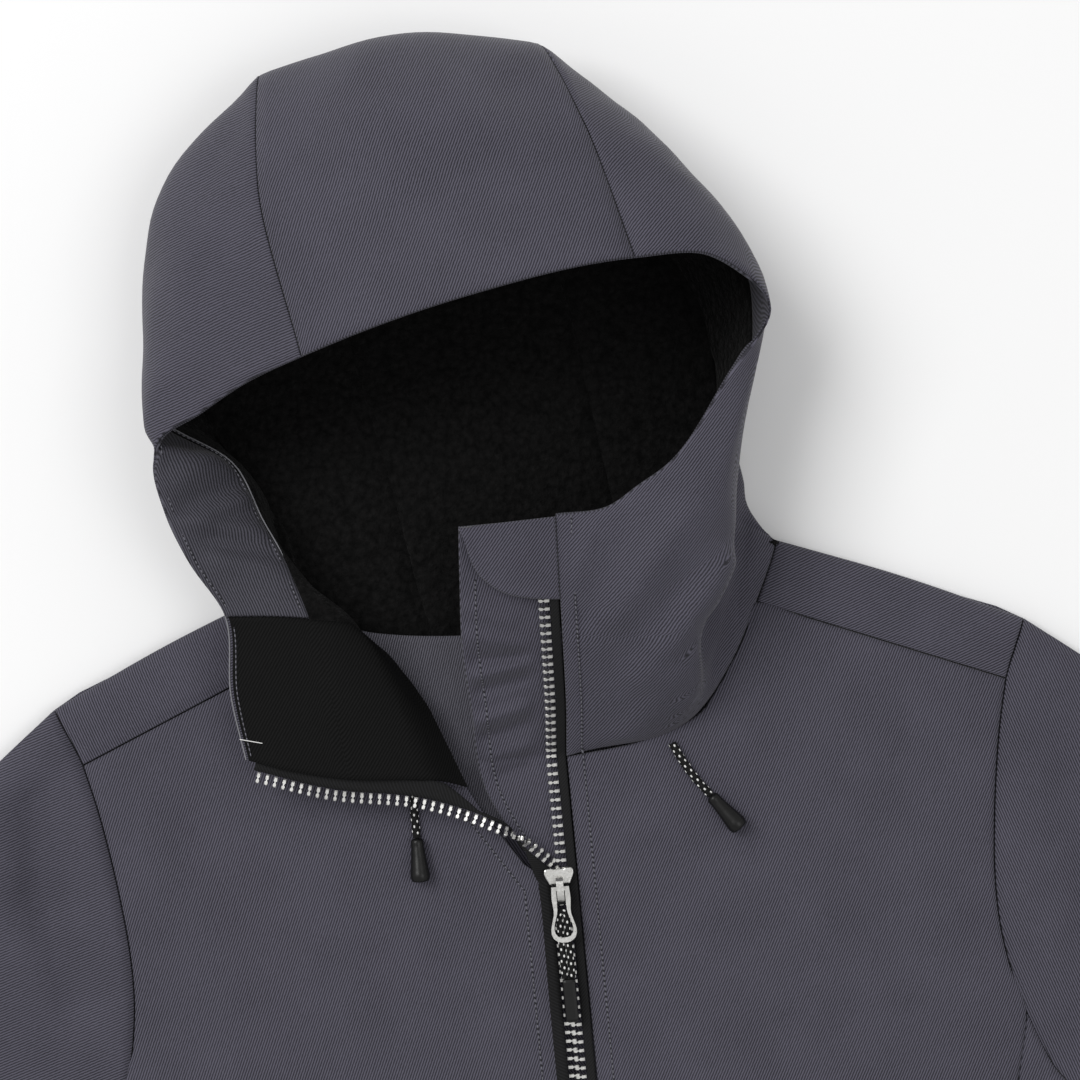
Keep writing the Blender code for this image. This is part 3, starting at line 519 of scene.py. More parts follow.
def declare_sheet(grid, flat):
    """Work out a piece's cloth area from its own surface, unless it is a narrow tape, which is no sheet; the
    area is not used.
    """
    width, length = np.ptp(flat.reshape(-1, 2), axis=0) * MM
    if min(width, length) < LEAST_SHEET * MM:
        return
    first = np.cross(grid[1:, :-1] - grid[:-1, :-1], grid[:-1, 1:] - grid[:-1, :-1])
    second = np.cross(grid[:-1, 1:] - grid[1:, 1:], grid[1:, :-1] - grid[1:, 1:])
    area = (np.linalg.norm(first, axis=-1).sum() + np.linalg.norm(second, axis=-1).sum()) / 2 * MM * MM
    area = min(max(area, LEAST_AREA * width * length), width * length)


def cloth_wall(name, outer, inner, flat, material, soft=EDGE_SOFT, cut=None):
    """A closed piece of cloth between two grids, with rounded edges and its twill at its angle."""
    rows, columns = outer.shape[:2]
    middle = (border(outer) + border(inner)) / 2
    outer, inner = drawn_in(outer, soft), drawn_in(inner, soft)
    count = rows * columns
    round_edge = border(np.arange(count).reshape(rows, columns))
    ring = 2 * count + np.arange(len(middle))
    faces = [grid_faces(rows, columns), grid_faces(rows, columns, count)[:, ::-1]]
    for upper, lower in ((round_edge, ring), (ring, round_edge + count)):
        faces.append(np.stack([np.roll(upper, -1), upper, lower, np.roll(lower, -1)], axis=-1))
    points = np.concatenate([outer.reshape(-1, 3), inner.reshape(-1, 3), middle])
    uv = turned_uv(flat, TWILL.get(name, 0)).reshape(-1, 2)
    uv = np.concatenate([uv, uv, uv[round_edge]])
    made = mesh_object(f"cloth_{name}", points, np.concatenate(faces).tolist(), material, uv)
    declare_sheet(outer, flat if cut is None else cut)
    return made


# Materials
def node(tree, kind, inputs, **settings):
    """A shader node with its inputs set or linked."""
    made = tree.nodes.new(kind)
    for key, value in settings.items():
        setattr(made, key, value)
    for key, value in inputs.items():
        if isinstance(value, bpy.types.NodeSocket):
            tree.links.new(value, made.inputs[key])
        else:
            made.inputs[key].default_value = value
    return made


def calc(tree, operation, *values):
    """The result of a maths node."""
    return node(tree, "ShaderNodeMath", dict(enumerate(values)), operation=operation).outputs[0]


def blank(name, roughness, metallic=0.0):
    """A new material, its node tree and its shader."""
    made = bpy.data.materials.new(name)
    made.use_nodes = True
    shader = made.node_tree.nodes["Principled BSDF"]
    shader.inputs["Roughness"].default_value = roughness
    shader.inputs["Metallic"].default_value = metallic
    return made, made.node_tree, shader


def object_place(tree):
    """A point's position in its own object."""
    return node(tree, "ShaderNodeTexCoord", {}).outputs["Object"]


def noise(tree, vector, scale, detail=3.0, roughness=0.5):
    """The value of a noise texture."""
    inputs = {"Vector": vector, "Scale": scale, "Detail": detail, "Roughness": roughness}
    return node(tree, "ShaderNodeTexNoise", inputs).outputs["Fac"]


def paint(tree, shader, dark, light, share):
    """Colour a shader between two colours by a share."""
    mix = node(tree, "ShaderNodeMix", {"Factor": share, "A": (*dark, 1), "B": (*light, 1)}, data_type="RGBA")
    tree.links.new(mix.outputs["Result"], shader.inputs["Base Color"])


def emboss(tree, shader, height, strength, distance):
    """Raise a shader's surface by a height from 0 to 1."""
    bump = node(tree, "ShaderNodeBump", {"Strength": strength, "Distance": distance, "Height": height})
    tree.links.new(bump.outputs["Normal"], shader.inputs["Normal"])


YARN_SCALE, YARN_SWAY = 800.0, 0.4  # fineness of the yarn, and how far it sways the ribs, in pitches
SHADE_SCALE, SHADE_CHANGE = 30.0, 0.24  # slow changes of shade
RIB_SHARE, RIB_DEPTH = 0.45, 0.2  # contrast of the ribs, and their depth in pitches


def twill(name, dark, light, pitch, strength, sheen, gloss=0.25):
    """Twill cloth: fine slanting ribs with uneven yarn and slow changes of shade."""
    made, tree, shader = blank(name, 0.8)
    uv = node(tree, "ShaderNodeUVMap", {}, uv_map="cloth").outputs["UV"]
    yarn = noise(tree, uv, YARN_SCALE, 2.0)
    slow = noise(tree, uv, SHADE_SCALE)
    split = node(tree, "ShaderNodeSeparateXYZ", {"Vector": uv})
    across = calc(tree, "MULTIPLY_ADD", yarn, pitch * YARN_SWAY, split.outputs["X"])
    rib = calc(tree, "SINE", calc(tree, "MULTIPLY", across, math.tau / pitch))
    height = calc(tree, "MULTIPLY_ADD", rib, RIB_SHARE, 0.5)
    share = calc(tree, "ADD", height, calc(tree, "MULTIPLY_ADD", slow, SHADE_CHANGE, -SHADE_CHANGE / 2))
    paint(tree, shader, dark, light, share)
    emboss(tree, shader, height, strength, pitch * RIB_DEPTH)
    shader.inputs["Sheen Weight"].default_value = sheen
    shader.inputs["Sheen Roughness"].default_value = 0.45
    shader.inputs["Specular IOR Level"].default_value = gloss
    return made


def pile(name):
    """Black curled pile."""
    made, tree, shader = blank(name, 0.95)
    place = object_place(tree)
    curls = noise(tree, place, 420.0, roughness=0.65)
    tufts = node(tree, "ShaderNodeTexVoronoi", {"Vector": place, "Scale": 240.0, "Randomness": 1.0})
    height = calc(tree, "MULTIPLY_ADD", tufts.outputs["Distance"], -0.5, curls)
    paint(tree, shader, (0.0012, 0.0012, 0.0012), (0.013, 0.0125, 0.0125), height)
    emboss(tree, shader, height, 0.9, 0.0022)
    shader.inputs["Specular IOR Level"].default_value = 0.12
    shader.inputs["Sheen Weight"].default_value = 0.03
    return made


def metal(name):
    """Satin silver metal, a little duller where it is handled."""
    made, tree, shader = blank(name, 0.3, 1.0)
    place = object_place(tree)
    spots = noise(tree, place, 900.0)
    paint(tree, shader, (0.62, 0.61, 0.58), (0.86, 0.86, 0.84), spots)
    tree.links.new(calc(tree, "MULTIPLY_ADD", spots, 0.22, 0.2), shader.inputs["Roughness"])
    emboss(tree, shader, spots, 0.1, 0.0002)
    return made


def grained(name, dark, light, scale, roughness, strength, gloss=0.5):
    """A plain material with a fine uneven grain."""
    made, tree, shader = blank(name, roughness)
    place = object_place(tree)
    grain = noise(tree, place, scale)
    paint(tree, shader, dark, light, grain)
    emboss(tree, shader, grain, strength, 0.0003)
    shader.inputs["Specular IOR Level"].default_value = gloss
    return made


def braid(name):
    """Braided black cord."""
    made, tree, shader = blank(name, 0.8)
    place = object_place(tree)
    strands = node(tree, "ShaderNodeTexVoronoi", {"Vector": place, "Scale": 950.0, "Randomness": 0.35})
    paint(tree, shader, (0.010, 0.010, 0.010), (0.002, 0.002, 0.002), strands.outputs["Distance"])
    emboss(tree, shader, strands.outputs["Distance"], -0.6, 0.0006)
    shader.inputs["Specular IOR Level"].default_value = 0.2
    return made


GREY = twill("grey_twill", (0.0106, 0.0101, 0.0141), (0.105, 0.1, 0.133), 0.00122, 0.5, 0.15)
# Darker copy of the grey twill for the hood's grey facing: painted shade inside the hood
GREY_SHADED = twill("grey_twill_painted_shade", (0.0095, 0.0095, 0.0125), (0.088, 0.0855, 0.107), 0.00116, 0.5, 0.08)
# Lighter copy of the grey twill for the neck facing: painted light that makes up for the shade in the neck's
# hollow
GREY_LIT = twill("grey_twill_painted_light", (0.016, 0.016, 0.020), (0.140, 0.136, 0.166), 0.00116, 0.5, 0.1)
BLACK = twill("black_twill", (0.0008, 0.0008, 0.0008), (0.0072, 0.0072, 0.0072), 0.0014, 0.4, 0.004, 0.12)
TAPE_CLOTH = twill("zip_tape", (0.002, 0.002, 0.002), (0.010, 0.010, 0.011), 0.0012, 0.5, 0.01)
PILE_CLOTH = pile("black_pile")
METAL = metal("silver_metal")
CORD = braid("black_braid")
PLASTIC = grained("black_plastic", (0.003, 0.003, 0.003), (0.006, 0.006, 0.006), 500.0, 0.36, 0.12, 0.3)
THREAD = grained("grey_thread", (0.090, 0.088, 0.108), (0.200, 0.197, 0.226), 900.0, 0.8, 0.3)
# Dark grey grains at the stitch ends: painted shade of the needle holes
NEEDLE_SHADE = grained("needle_hole_shade", (0.012, 0.012, 0.015), (0.026, 0.026, 0.032), 900.0, 0.9, 0.3)
EDGE_THREAD = grained("pale_edge_thread", (0.13, 0.13, 0.145), (0.26, 0.26, 0.28), 900.0, 0.8, 0.3)
FLECK = grained("white_thread", (0.72, 0.72, 0.70), (0.90, 0.90, 0.88), 900.0, 0.75, 0.3)
FLOOR = grained("pale_floor", (0.90, 0.90, 0.90), (0.91, 0.91, 0.91), 3.0, 0.9, 0.0)


def keep(made, slot, *nodes):
    """Put a piece on the jacket, in place of its solids."""
    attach(made, "jacket")
    if nodes:
        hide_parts(*nodes)
    return made


# Shapes built of rings, and copies of a small shape
def ring_faces(count, rings):
    """Faces of a closed shape from rings of points, with both ends capped."""
    last = (rings - 1) * count
    faces = [tuple(range(count))[::-1], tuple(range(last, last + count))]
    for low in range(0, last, count):
        high = low + count
        for k in range(count):
            n = (k + 1) % count
            faces.append((low + k, low + n, high + n, high + k))
    return faces


def copies(name, shape, faces, middles, axes, material, flat_shaded=False):
    """One piece of many copies of a shape, each at its own middle and along its own three axes."""
    points = middles[:, None] + np.einsum("pk,nkd->npd", shape, np.stack(axes, axis=1))
    step = len(shape)
    all_faces = [[v + step * i for v in face] for i in range(len(middles)) for face in faces]
    return mesh_object(name, points.reshape(-1, 3), all_faces, material, flat_shaded=flat_shaded)


# Stitches and the flecks of the cords: small grains laid along a line
GRAIN_SHOULDER = 0.28  # where a grain is thickest, from its middle


def grains(name, middles, along, across, up, size, material):
    """Many small spindle-shaped grains as one piece."""
    length, width, height = size
    shape = [(-0.5, 0, 0), (0.5, 0, 0)]
    for end in (-GRAIN_SHOULDER, GRAIN_SHOULDER):
        shape += [(end, 0.5, 0), (end, 0, 0.5), (end, -0.5, 0), (end, 0, -0.5)]
    shape = np.array(shape) * (length, width, height)
    faces = []
    for k in range(4):
        n = (k + 1) % 4
        faces += [(0, 2 + n, 2 + k), (1, 6 + k, 6 + n), (2 + k, 2 + n, 6 + n, 6 + k)]
    return copies(name, shape, faces, middles, (along, across, up), material)


def tube(name, line, diameter, material):
    """A round thread or cord along a line of points."""
    data = bpy.data.curves.new(name, "CURVE")
    data.dimensions = "3D"
    data.bevel_depth = diameter / 2 * MM
    data.bevel_resolution = 3
    data.use_fill_caps = True
    spline = data.splines.new("POLY")
    spline.points.add(len(line) - 1)
    for point, place in zip(spline.points, line):
        point.co = (*(place * MM), 1.0)
    data.materials.append(material)
    made = bpy.data.objects.new(name, data)
    bpy.context.scene.collection.objects.link(made)
    return made


UPWARD = (0.0, 0.0, 1.0)
STITCH_STEP = 2.5
STITCH_SIZE = (1.8, 0.6, 0.5)
# Size of the dark grains painted as shade in the needle holes
NEEDLE_SHADE_SIZE = (1.0, 0.8, 0.4)


def stitches(name, line, up):
    """A run of stitches along a line on a surface facing up, with small dark grains at the holes they go
    into: painted shade of the needle holes.
    """
    middles, along = even(line, STITCH_STEP)
    up = np.broadcast_to(np.asarray(up, float), middles.shape)
    across = unit(np.cross(up, along))
    out = np.cross(along, across)
    keep(grains(name, middles, along, across, out, STITCH_SIZE, THREAD), "shell_cloth")
    ends = middles + along * STITCH_STEP / 2
    # Dark grains at the holes: painted shade
    keep(grains(f"{name}_hole_shades", ends, along, across, out, NEEDLE_SHADE_SIZE, NEEDLE_SHADE), "shell_cloth")


# Body panels
# Stitching beside the zip: distance from the zip's middle, upper end, start above the hem
ZIP_STITCH_X, ZIP_STITCH_TOP, ZIP_STITCH_HEM = 17.0, 3.0, 4.0
ZIP_STITCH_TURN = (-49, -12)  # where the left run ends under the opened collar
STITCH_LIFT = 0.2
# Creases of the body panels in the same form as the folds
CREASES = [
    (-249, 4, -249, -44, -2.5, 4.0),
    (-249, -44, -238, -95, -2.0, 4.0),
    (-190, -130, -120, -190, 1.2, 18.0),
    (-60, -90, -140, -60, 0.8, 16.0),
    (60, -100, 150, -140, 0.9, 20.0),
    (120, -20, 190, -90, 0.9, 22.0),
]


def top_panel(name, plan, seed):
    """A padded panel on the top side, with sunk seams and slight unevenness."""
    plan = drawn_in(refined(plan, REFINE))
    x, y = plan[..., 0], plan[..., 1]
    height = top_height(plan)
    under = np.maximum(height - LAYER, LAYER + SEAM)
    edge = nearest(plan, border(plan))
    calm = 1 - np.exp(-((edge / PANEL_CALM) ** 2))
    uneven = RIPPLE * ripple(x, y, seed) + folds_over(CREASES, x, y)
    dip = SEAM_DIP * np.exp(-((edge / SEAM_DIP_WIDTH) ** 2))
    outer = np.maximum(height - dip + calm * uneven, under + LEAST_WALL)
    made = cloth_wall(name, np.dstack([plan, outer]), np.dstack([plan, under]), plan, GREY)
    return keep(made, "shell_cloth", name)


def flat_cloth(name, plan, low, high, material):
    """A flat layer between two heights."""
    plan = drawn_in(plan)
    top = np.dstack([plan, np.full(plan.shape[:2], high)])
    bottom = np.dstack([plan, np.full(plan.shape[:2], low)])
    made = cloth_wall(name, top, bottom, plan, material)
    return keep(made, "shell_cloth", name)


def build_body():
    """Back, fronts, yokes, sides and sleeves."""
    flat_cloth("back", refined(back_plan(), REFINE_BACK), 0.0, LAYER, GREY)
    plans = {"front": front_plan, "yoke": yoke_plan, "side": side_plan, "sleeve_upper": sleeve_plan}
    for right, tag in enumerate(("left", "right")):
        for (name, plan), seed in zip(plans.items(), PANEL_SEEDS):
            top_panel(f"{name}_{tag}", plan(right), seed + right)
        flat_cloth(f"sleeve_under_{tag}", refined(sleeve_plan(right), REFINE_UNDER), 0.0, LAYER, GREY)


def on_top(route, lift):
    """A plan route laid on the top surface at a height over it."""
    plan = np.asarray(route, float)
    return np.column_stack([plan, top_height(plan) + lift])


def build_body_stitches():
    """Topstitching beside the zip on both fronts."""
    start, opening = HEM_Y + ZIP_STITCH_HEM, OPEN_Y - 2
    right = np.linspace((ZIP_STITCH_X, start), (ZIP_STITCH_X, ZIP_STITCH_TOP), 240)
    left = np.linspace((-ZIP_STITCH_X, start), (-ZIP_STITCH_X, opening), 220)
    turn = np.linspace((-ZIP_STITCH_X, opening), ZIP_STITCH_TURN, 24)
    stitches("stitch_front_right", on_top(right, STITCH_LIFT), UPWARD)
    stitches("stitch_front_left", on_top(joined(left, turn), STITCH_LIFT), UPWARD)


# Hood
PILE_LAP = -0.6  # pile edges meet without a gap
CREASE_CALM = 5.0  # creases fade out this near a piece's edge
# How deep and how wide hood panels and pile sink beside their seams
HOOD_DIP, PILE_DIP, NO_DIP = (0.6, SEAM_DIP_WIDTH), (2.2, 4.5), (0.0, SEAM_DIP_WIDTH)
COLLAR_STITCH = 7.5  # from the collar's zip edge
FACING_LIFT = 0.1  # threads lie this far over the facings
FACING_UPWARD = (0.3, 0.0, 1.0)
EDGE_INSET = 1.5  # the black facing leaves this much of the shell's edge showing
EDGE_THREAD_DIAMETER = 0.7
# One white thread across the rim of the black facing
TACK_ROW, TACK_POINTS, TACK_LIFT, TACK_DIAMETER = 4, 4, (0.0, 0.0, 0.2), 0.4
# Creases of the hood's shell in the same form as the folds
# They lie on the collar, its overhanging ridge, the hollow behind it, the crown and the left side
HOOD_CREASES = [
    (90, 100, 34, 40, -1.5, 7.0),
    (92, 86, 50, 36, 3.0, 7.0),
    (76, 114, 36, 66, 2.8, 6.5),
    (78, 60, 40, 16, -1.4, 6.5),
    (62, 36, 36, 8, 2.4, 5.5),
    (44, 104, 24, 66, -1.4, 5.0),
    (30, 108, 18, 84, 2.2, 4.5),
    (108, 116, 101, 92, -1.5, 4.0),
    (101, 92, 95, 62, -1.6, 4.0),
    (95, 62, 84, 36, -1.6, 4.0),
    (-60, 300, 10, 280, 3.0, 20.0),
    (-80, 240, -20, 262, -1.5, 16.0),
    (-10, 330, 30, 300, -1.5, 12.0),
    (40, 262, 80, 240, 2.2, 14.0),
    (-150, 240, -120, 215, 2.6, 13.0),
    (-140, 275, -115, 250, -1.5, 11.0),
]
HOLLOW = -1.4  # a crease sinks no deeper, so the layer behind stays covered
FOLD_STEEP, FOLD_THIN = 0.5, 0.6  # where the normal rises less, cloth is thinner, down to this share
# Creases of the facing inside the turned collar
FACING_CREASES = [
    (-160, 129, -128, 139, 2.8, 4.0),
    (-160, 136, -130, 147, -2.4, 3.6),
    (-149, 120, -117, 110, -2.6, 3.6),
    (-152, 127, -122, 119, 2.2, 4.0),
    (-146, 110, -116, 101, 1.8, 4.5),
    (-164, 148, -140, 160, 1.8, 5.0),
]


def hood_surface():
    """Outer surface of the whole hood, and its outward normals."""
    stations = (len(HOOD_RIBS) - 1) * STATIONS + 1
    points = np.array([rib_line(station / STATIONS) for station in range(stations)])
    normal = np.cross(np.gradient(points, axis=0), np.gradient(points, axis=1))
    return points, unit(normal)


def hood_block(hood, ribs, columns):
    """Points and normals of the hood between rib numbers and columns."""
    rows = slice(ribs[0] * STATIONS, ribs[1] * STATIONS + 1)
    return [grid[rows, columns[0] : columns[1] + 1] for grid in hood]


def hood_wall(name, block, depths, material, slot, gap=SEAM / 2, dip=NO_DIP, rim_inset=0.0, creases=()):
    """A wall of the hood from one depth inside its surface to another, its showing side uneven."""
    points, normal = block
    edge = nearest(points, border(points))
    sunk = dip[0] * np.exp(-((edge / dip[1]) ** 2))
    x, y = points[..., 0], points[..., 1]
    calm = 1 - np.exp(-((edge / CREASE_CALM) ** 2))
    folds = np.maximum(folds_over(creases, x, y), HOLLOW)
    uneven = calm * folds + RIPPLE * ripple(x + points[..., 2], y, len(name)) - sunk
    shows_out = depths[0] == 0
    thin = np.clip(np.abs(normal[..., 2]) / FOLD_STEEP, FOLD_THIN, 1)
    outer = points + normal * (uneven if shows_out else -depths[0] * thin)[..., None]
    inner = points - normal * (depths[1] * thin + (0.0 if shows_out else uneven))[..., None]
    outer[..., 2] = np.maximum(outer[..., 2], 0.0)
    for grid in (outer, inner):
        grid[:, 0] += unit(grid[:, 1] - grid[:, 0]) * rim_inset
    grids = drawn_in(outer, gap), drawn_in(inner, gap)
    made = cloth_wall(name, *grids, flattened(points), material, SOFT_HOOD, rolled_out(points))
    return keep(made, slot, name)


def build_hood(hood):
    """Hood shell in three panels, its facings and its pile lining."""
    inside = SHELL + SEAM
    face, whole = RIB_STEPS[0], sum(RIB_STEPS)
    shell, facing, lining = (0, SHELL), (inside, inside + FACING), (inside, inside + PILE)
    ends = (0, RIB_LEFT_SEAM, RIB_RIGHT_SEAM, RIB_RIGHT_END)
    for name, *ribs in zip(("hood_side_left", "hood_crown", "hood_side_right"), ends, ends[1:]):
        block = hood_block(hood, ribs, (0, whole))
        hood_wall(name, block, shell, GREY, "shell_cloth", dip=HOOD_DIP, creases=HOOD_CREASES)
    block = hood_block(hood, (0, RIB_LEFT_TURN), (0, whole))
    hood_wall("collar_facing", block, facing, BLACK, "black_facing", rim_inset=EDGE_INSET)
    block = hood_block(hood, (RIB_LEFT_TURN, RIB_RIGHT_END), (0, face))
    # The grey facing takes the darker copy of the twill, painted shade
    hood_wall("hood_facing", block, facing, GREY_SHADED, "shell_cloth", creases=FACING_CREASES)
    ends = (RIB_LEFT_TURN, *ends[1:])
    for name, *ribs in zip(("lining_left", "lining_crown", "lining_right"), ends, ends[1:]):
        block = hood_block(hood, ribs, (face, whole))
        hood_wall(name, block, lining, PILE_CLOTH, "pile_lining", PILE_LAP, PILE_DIP)


def build_hood_stitches(hood):
    """Stitching along the collar's zip edge and the facings' edges, and the pale threads of those edges."""
    points, normal = hood
    edge, beside = points[-1], points[-4]
    line = edge + unit(beside - edge) * COLLAR_STITCH
    stitches("stitch_collar", line + normal[-2] * STITCH_LIFT, normal[-2].mean(axis=0))
    turn, seam = RIB_LEFT_TURN * STATIONS, RIB_LEFT_SEAM * STATIONS
    shows = points - normal * (SHELL + SEAM + FACING + FACING_LIFT)
    stitches("stitch_facing_rim", shows[turn + 2 : seam, 1], FACING_UPWARD)
    stitches("stitch_facing_inner", shows[turn + 2 : seam, RIB_STEPS[0] - 1], FACING_UPWARD)
    stitches("stitch_collar_facing", shows[1 : turn - 1, 1], FACING_UPWARD)
    middle = points - normal * SHELL
    edges = (
        ("edge_facing_inner", shows[turn + 1 : seam, RIB_STEPS[0]]),
        ("edge_collar", middle[: turn + 1, 0]),
    )
    for name, line in edges:
        keep(tube(name, line, EDGE_THREAD_DIAMETER, EDGE_THREAD), "shell_cloth")
    tack = shows[TACK_ROW, :TACK_POINTS] + TACK_LIFT
    keep(tube("tack_collar", tack, TACK_DIAMETER, FLECK), "shell_cloth")


# Zip
TOOTH_PITCH = 4.2
# Half outline of a tooth: across from the chain's middle, half width along the chain
TOOTH = [
    (4.1, 0.8), (2.3, 0.95), (1.7, 0.35), (1.1, 0.35), (0.7, 0.8), (-0.1, 0.95), (-0.75, 0.8), (-1.05, 0.4),
]
TAPE_NEAR = SEAM * 1.5 + TEETH_WIDTH  # edge of a tape beside the teeth
ZIP_POINTS, LEFT_ZIP_POINTS, TAPE_COLUMNS = 60, 90, 5
TOOTH_SIDE = 3.0  # a line this far from the chain's middle shows which way the tape lies
TOOTH_LEVELS = [(-1.2, 0.82), (-0.85, 1.0), (0.85, 1.0), (1.2, 0.82)]  # height, share of the outline


def right_strip(*places):
    """Lines beside the right zip's cloth edge, at places from the chain's middle."""
    y = joined(np.linspace(HEM_Y, OPEN_Y, ZIP_POINTS), np.linspace(OPEN_Y, RIGHT_ZIP_TOP, ZIP_POINTS))
    x, z = cloth_edge(y)
    shift = x - FRONT_EDGE
    return [np.stack([shift + across, y, z - TAPE_DROP], axis=1) for across in places]


def left_strip(*places):
    """The same lines for the left zip, which turns over and follows the opened collar."""
    y = np.linspace(HEM_Y, OPEN_Y, ZIP_POINTS)
    z = cloth_edge(y)[1] - TAPE_DROP
    line = curve(LEFT_ZIP, LEFT_ZIP_POINTS)
    shares = np.linspace(0, 1, len(line))
    way = unit(np.gradient(line[:, :2], axis=0))
    first, last = LEFT_ZIP_TWIST
    turn = np.clip((shares - first) / (last - first), 0, 1)
    angle = math.pi * turn * turn * (3 - 2 * turn)
    aside = np.stack([-way[:, 1] * np.cos(angle), way[:, 0] * np.cos(angle), -np.sin(angle)], axis=1)
    showing = np.interp(shares, *LEFT_TAPE_SHOWS)
    lines = []
    for across in places:
        closed = np.stack([np.full_like(y, -across), y, z], axis=1)
        open_across = min(across, TAPE_NEAR) + max(across - TAPE_NEAR, 0) * showing
        lines.append(np.concatenate([closed, line + aside * (open_across - TEETH_WIDTH / 2)[:, None]]))
    return lines


def chain(name, lines, offset):
    """Teeth along the chain's middle line; the second line shows which way the tape lies."""
    shift = int(offset > 0)
    middles, along = even(lines[0][shift:], TOOTH_PITCH)
    sides, _ = even(lines[1][shift:], TOOTH_PITCH * chord(lines[1])[-1] / chord(lines[0])[-1])
    count = min(len(middles), len(sides))
    middles, along, sides = middles[:count] + along[:count] * offset, along[:count], sides[:count]
    across = sides - middles
    across = unit(across - along * (across * along).sum(axis=1, keepdims=True))
    up = np.cross(along, across)
    half = np.array(TOOTH)
    outline = np.concatenate([half, half[::-1] * (1, -1)])
    centre = outline.mean(axis=0)
    shape = []
    for height, share in TOOTH_LEVELS:
        for place in centre + (outline - centre) * share:
            shape.append((place[1], place[0], height))
    faces = ring_faces(len(outline), len(TOOTH_LEVELS))
    axes = along, across, up
    made = copies(f"row_{name}", np.array(shape), faces, middles, axes, METAL, flat_shaded=True)
    return keep(made, "zip_metal", name)


def tape(name, lines):
    """One zip tape between two lines."""
    middle = np.stack([lines[0] * (1 - s) + lines[1] * s for s in np.linspace(0, 1, TAPE_COLUMNS)], axis=1)
    way = np.cross(np.gradient(middle, axis=0), np.gradient(middle, axis=1))
    normal = unit(way) * TAPE / 2
    made = cloth_wall(name, middle - normal, middle + normal, rolled_out(middle), TAPE_CLOTH, SOFT_TAPE)
    return keep(made, "zip_tape", name)


def build_zip():
    """Tapes and teeth of both sides."""
    sides = (("left", left_strip, 0.0, TAPE_EDGE_SEWN), ("right", right_strip, TOOTH_PITCH / 2, TAPE_EDGE))
    for tag, strip, offset, far in sides:
        tape(f"zip_tape_{tag}", strip(TAPE_NEAR, far))
        chain(f"zip_teeth_{tag}", strip(0.0, TOOTH_SIDE), offset)


# Flap, garage and neck facing; wrinkles of the flap in the same form as the folds
FLAP_CREASES = [
    (-30, 76, -12, 68, 1.4, 4.0),
    (-30, 63, -6, 57, 2.4, 4.0),
    (-30, 52, -8, 52, -2.2, 3.0),
    (-30, 44, -4, 48, 3.0, 3.2),
    (-29, 37, -6, 41, -2.7, 3.0),
    (-30, 22, -8, 27, 3.2, 3.6),
    (-29, 14, -8, 19, -2.8, 3.2),
    (-27, 4, -8, 8, 2.6, 3.6),
    (-24, -6, -10, -2, -2.2, 3.2),
]
FLAP_ROWS, FLAP_COLUMNS = 120, 32
FLAP_FADE = 0.8, 0.25  # its wrinkles end at this share of its width, and fade over this share
FLAP_STITCH_COLUMN, FLAP_STITCH_ROWS, FLAP_STITCH_LIFT = 5, slice(14, 102), 1.2  # lift in half thicknesses
GARAGE_ROWS, GARAGE_COLUMNS = 30, 48
GARAGE_SLOPE, GARAGE_LOW = 12.0, 0.15  # it comes down to the zip over this width, to this share of its lift
GARAGE_HEM, GARAGE_HEM_WIDTH = 1.3, 3.5  # how far its curved edge stands up, and how wide
NECK_FACING_ROWS, NECK_FACING_COLUMNS = 24, 41


def build_flap():
    """Wind flap behind the right zip, with its stitching."""
    free = curve([(x, y) for y, x in FLAP_EDGE], FLAP_ROWS)
    edge_x, edge_z = cloth_edge(free[:, 1])
    z = edge_z - FLAP_DROP
    left = np.column_stack([free, z])
    right = np.column_stack([edge_x - SEAM * 2, free[:, 1], z])
    shares = np.linspace(0, 1, FLAP_COLUMNS)
    middle = np.stack([left * (1 - share) + right * share for share in shares], axis=1)
    flat = middle[..., :2].copy()
    fade = np.clip((FLAP_FADE[0] - shares) / FLAP_FADE[1], 0, 1)
    middle[..., 2] += fade * folds_over(FLAP_CREASES, flat[..., 0], flat[..., 1])
    half = np.array((0, 0, FLAP / 2))
    made = cloth_wall("wind_flap", middle + half, middle - half, flat, GREY, SOFT_HOOD)
    keep(made, "shell_cloth", "wind_flap")
    line = middle[FLAP_STITCH_ROWS, FLAP_STITCH_COLUMN] + half * FLAP_STITCH_LIFT
    stitches("stitch_flap", line, UPWARD)


def build_garage():
    """Zip garage at the collar's top, its curved lower edge standing up a little."""
    lower = curve(GARAGE_EDGE, GARAGE_COLUMNS)
    upper = np.linspace(*GARAGE_TOP, GARAGE_COLUMNS)
    plan = coons(lower, upper, *(np.linspace(lower[k], upper[k], GARAGE_ROWS) for k in (0, -1)))
    hem = GARAGE_HEM * np.exp(-((nearest(plan, lower) / GARAGE_HEM_WIDTH) ** 2))
    edge_x, height = cloth_edge(plan[..., 1])
    to_edge = (edge_x + SEAM - plan[..., 0])[:, -1:]
    plan[..., 0] += to_edge * np.linspace(0, 1, plan.shape[1]) ** 2
    beside = np.clip((edge_x - plan[..., 0]) / GARAGE_SLOPE, 0, 1)
    hem *= beside
    outer = np.dstack([plan, height + GARAGE_LIFT * (GARAGE_LOW + (1 - GARAGE_LOW) * beside) + hem])
    made = cloth_wall("zip_garage", outer, outer - (0, 0, FLAP), plan, GREY, SOFT_HOOD)
    keep(made, "shell_cloth", "zip_garage")


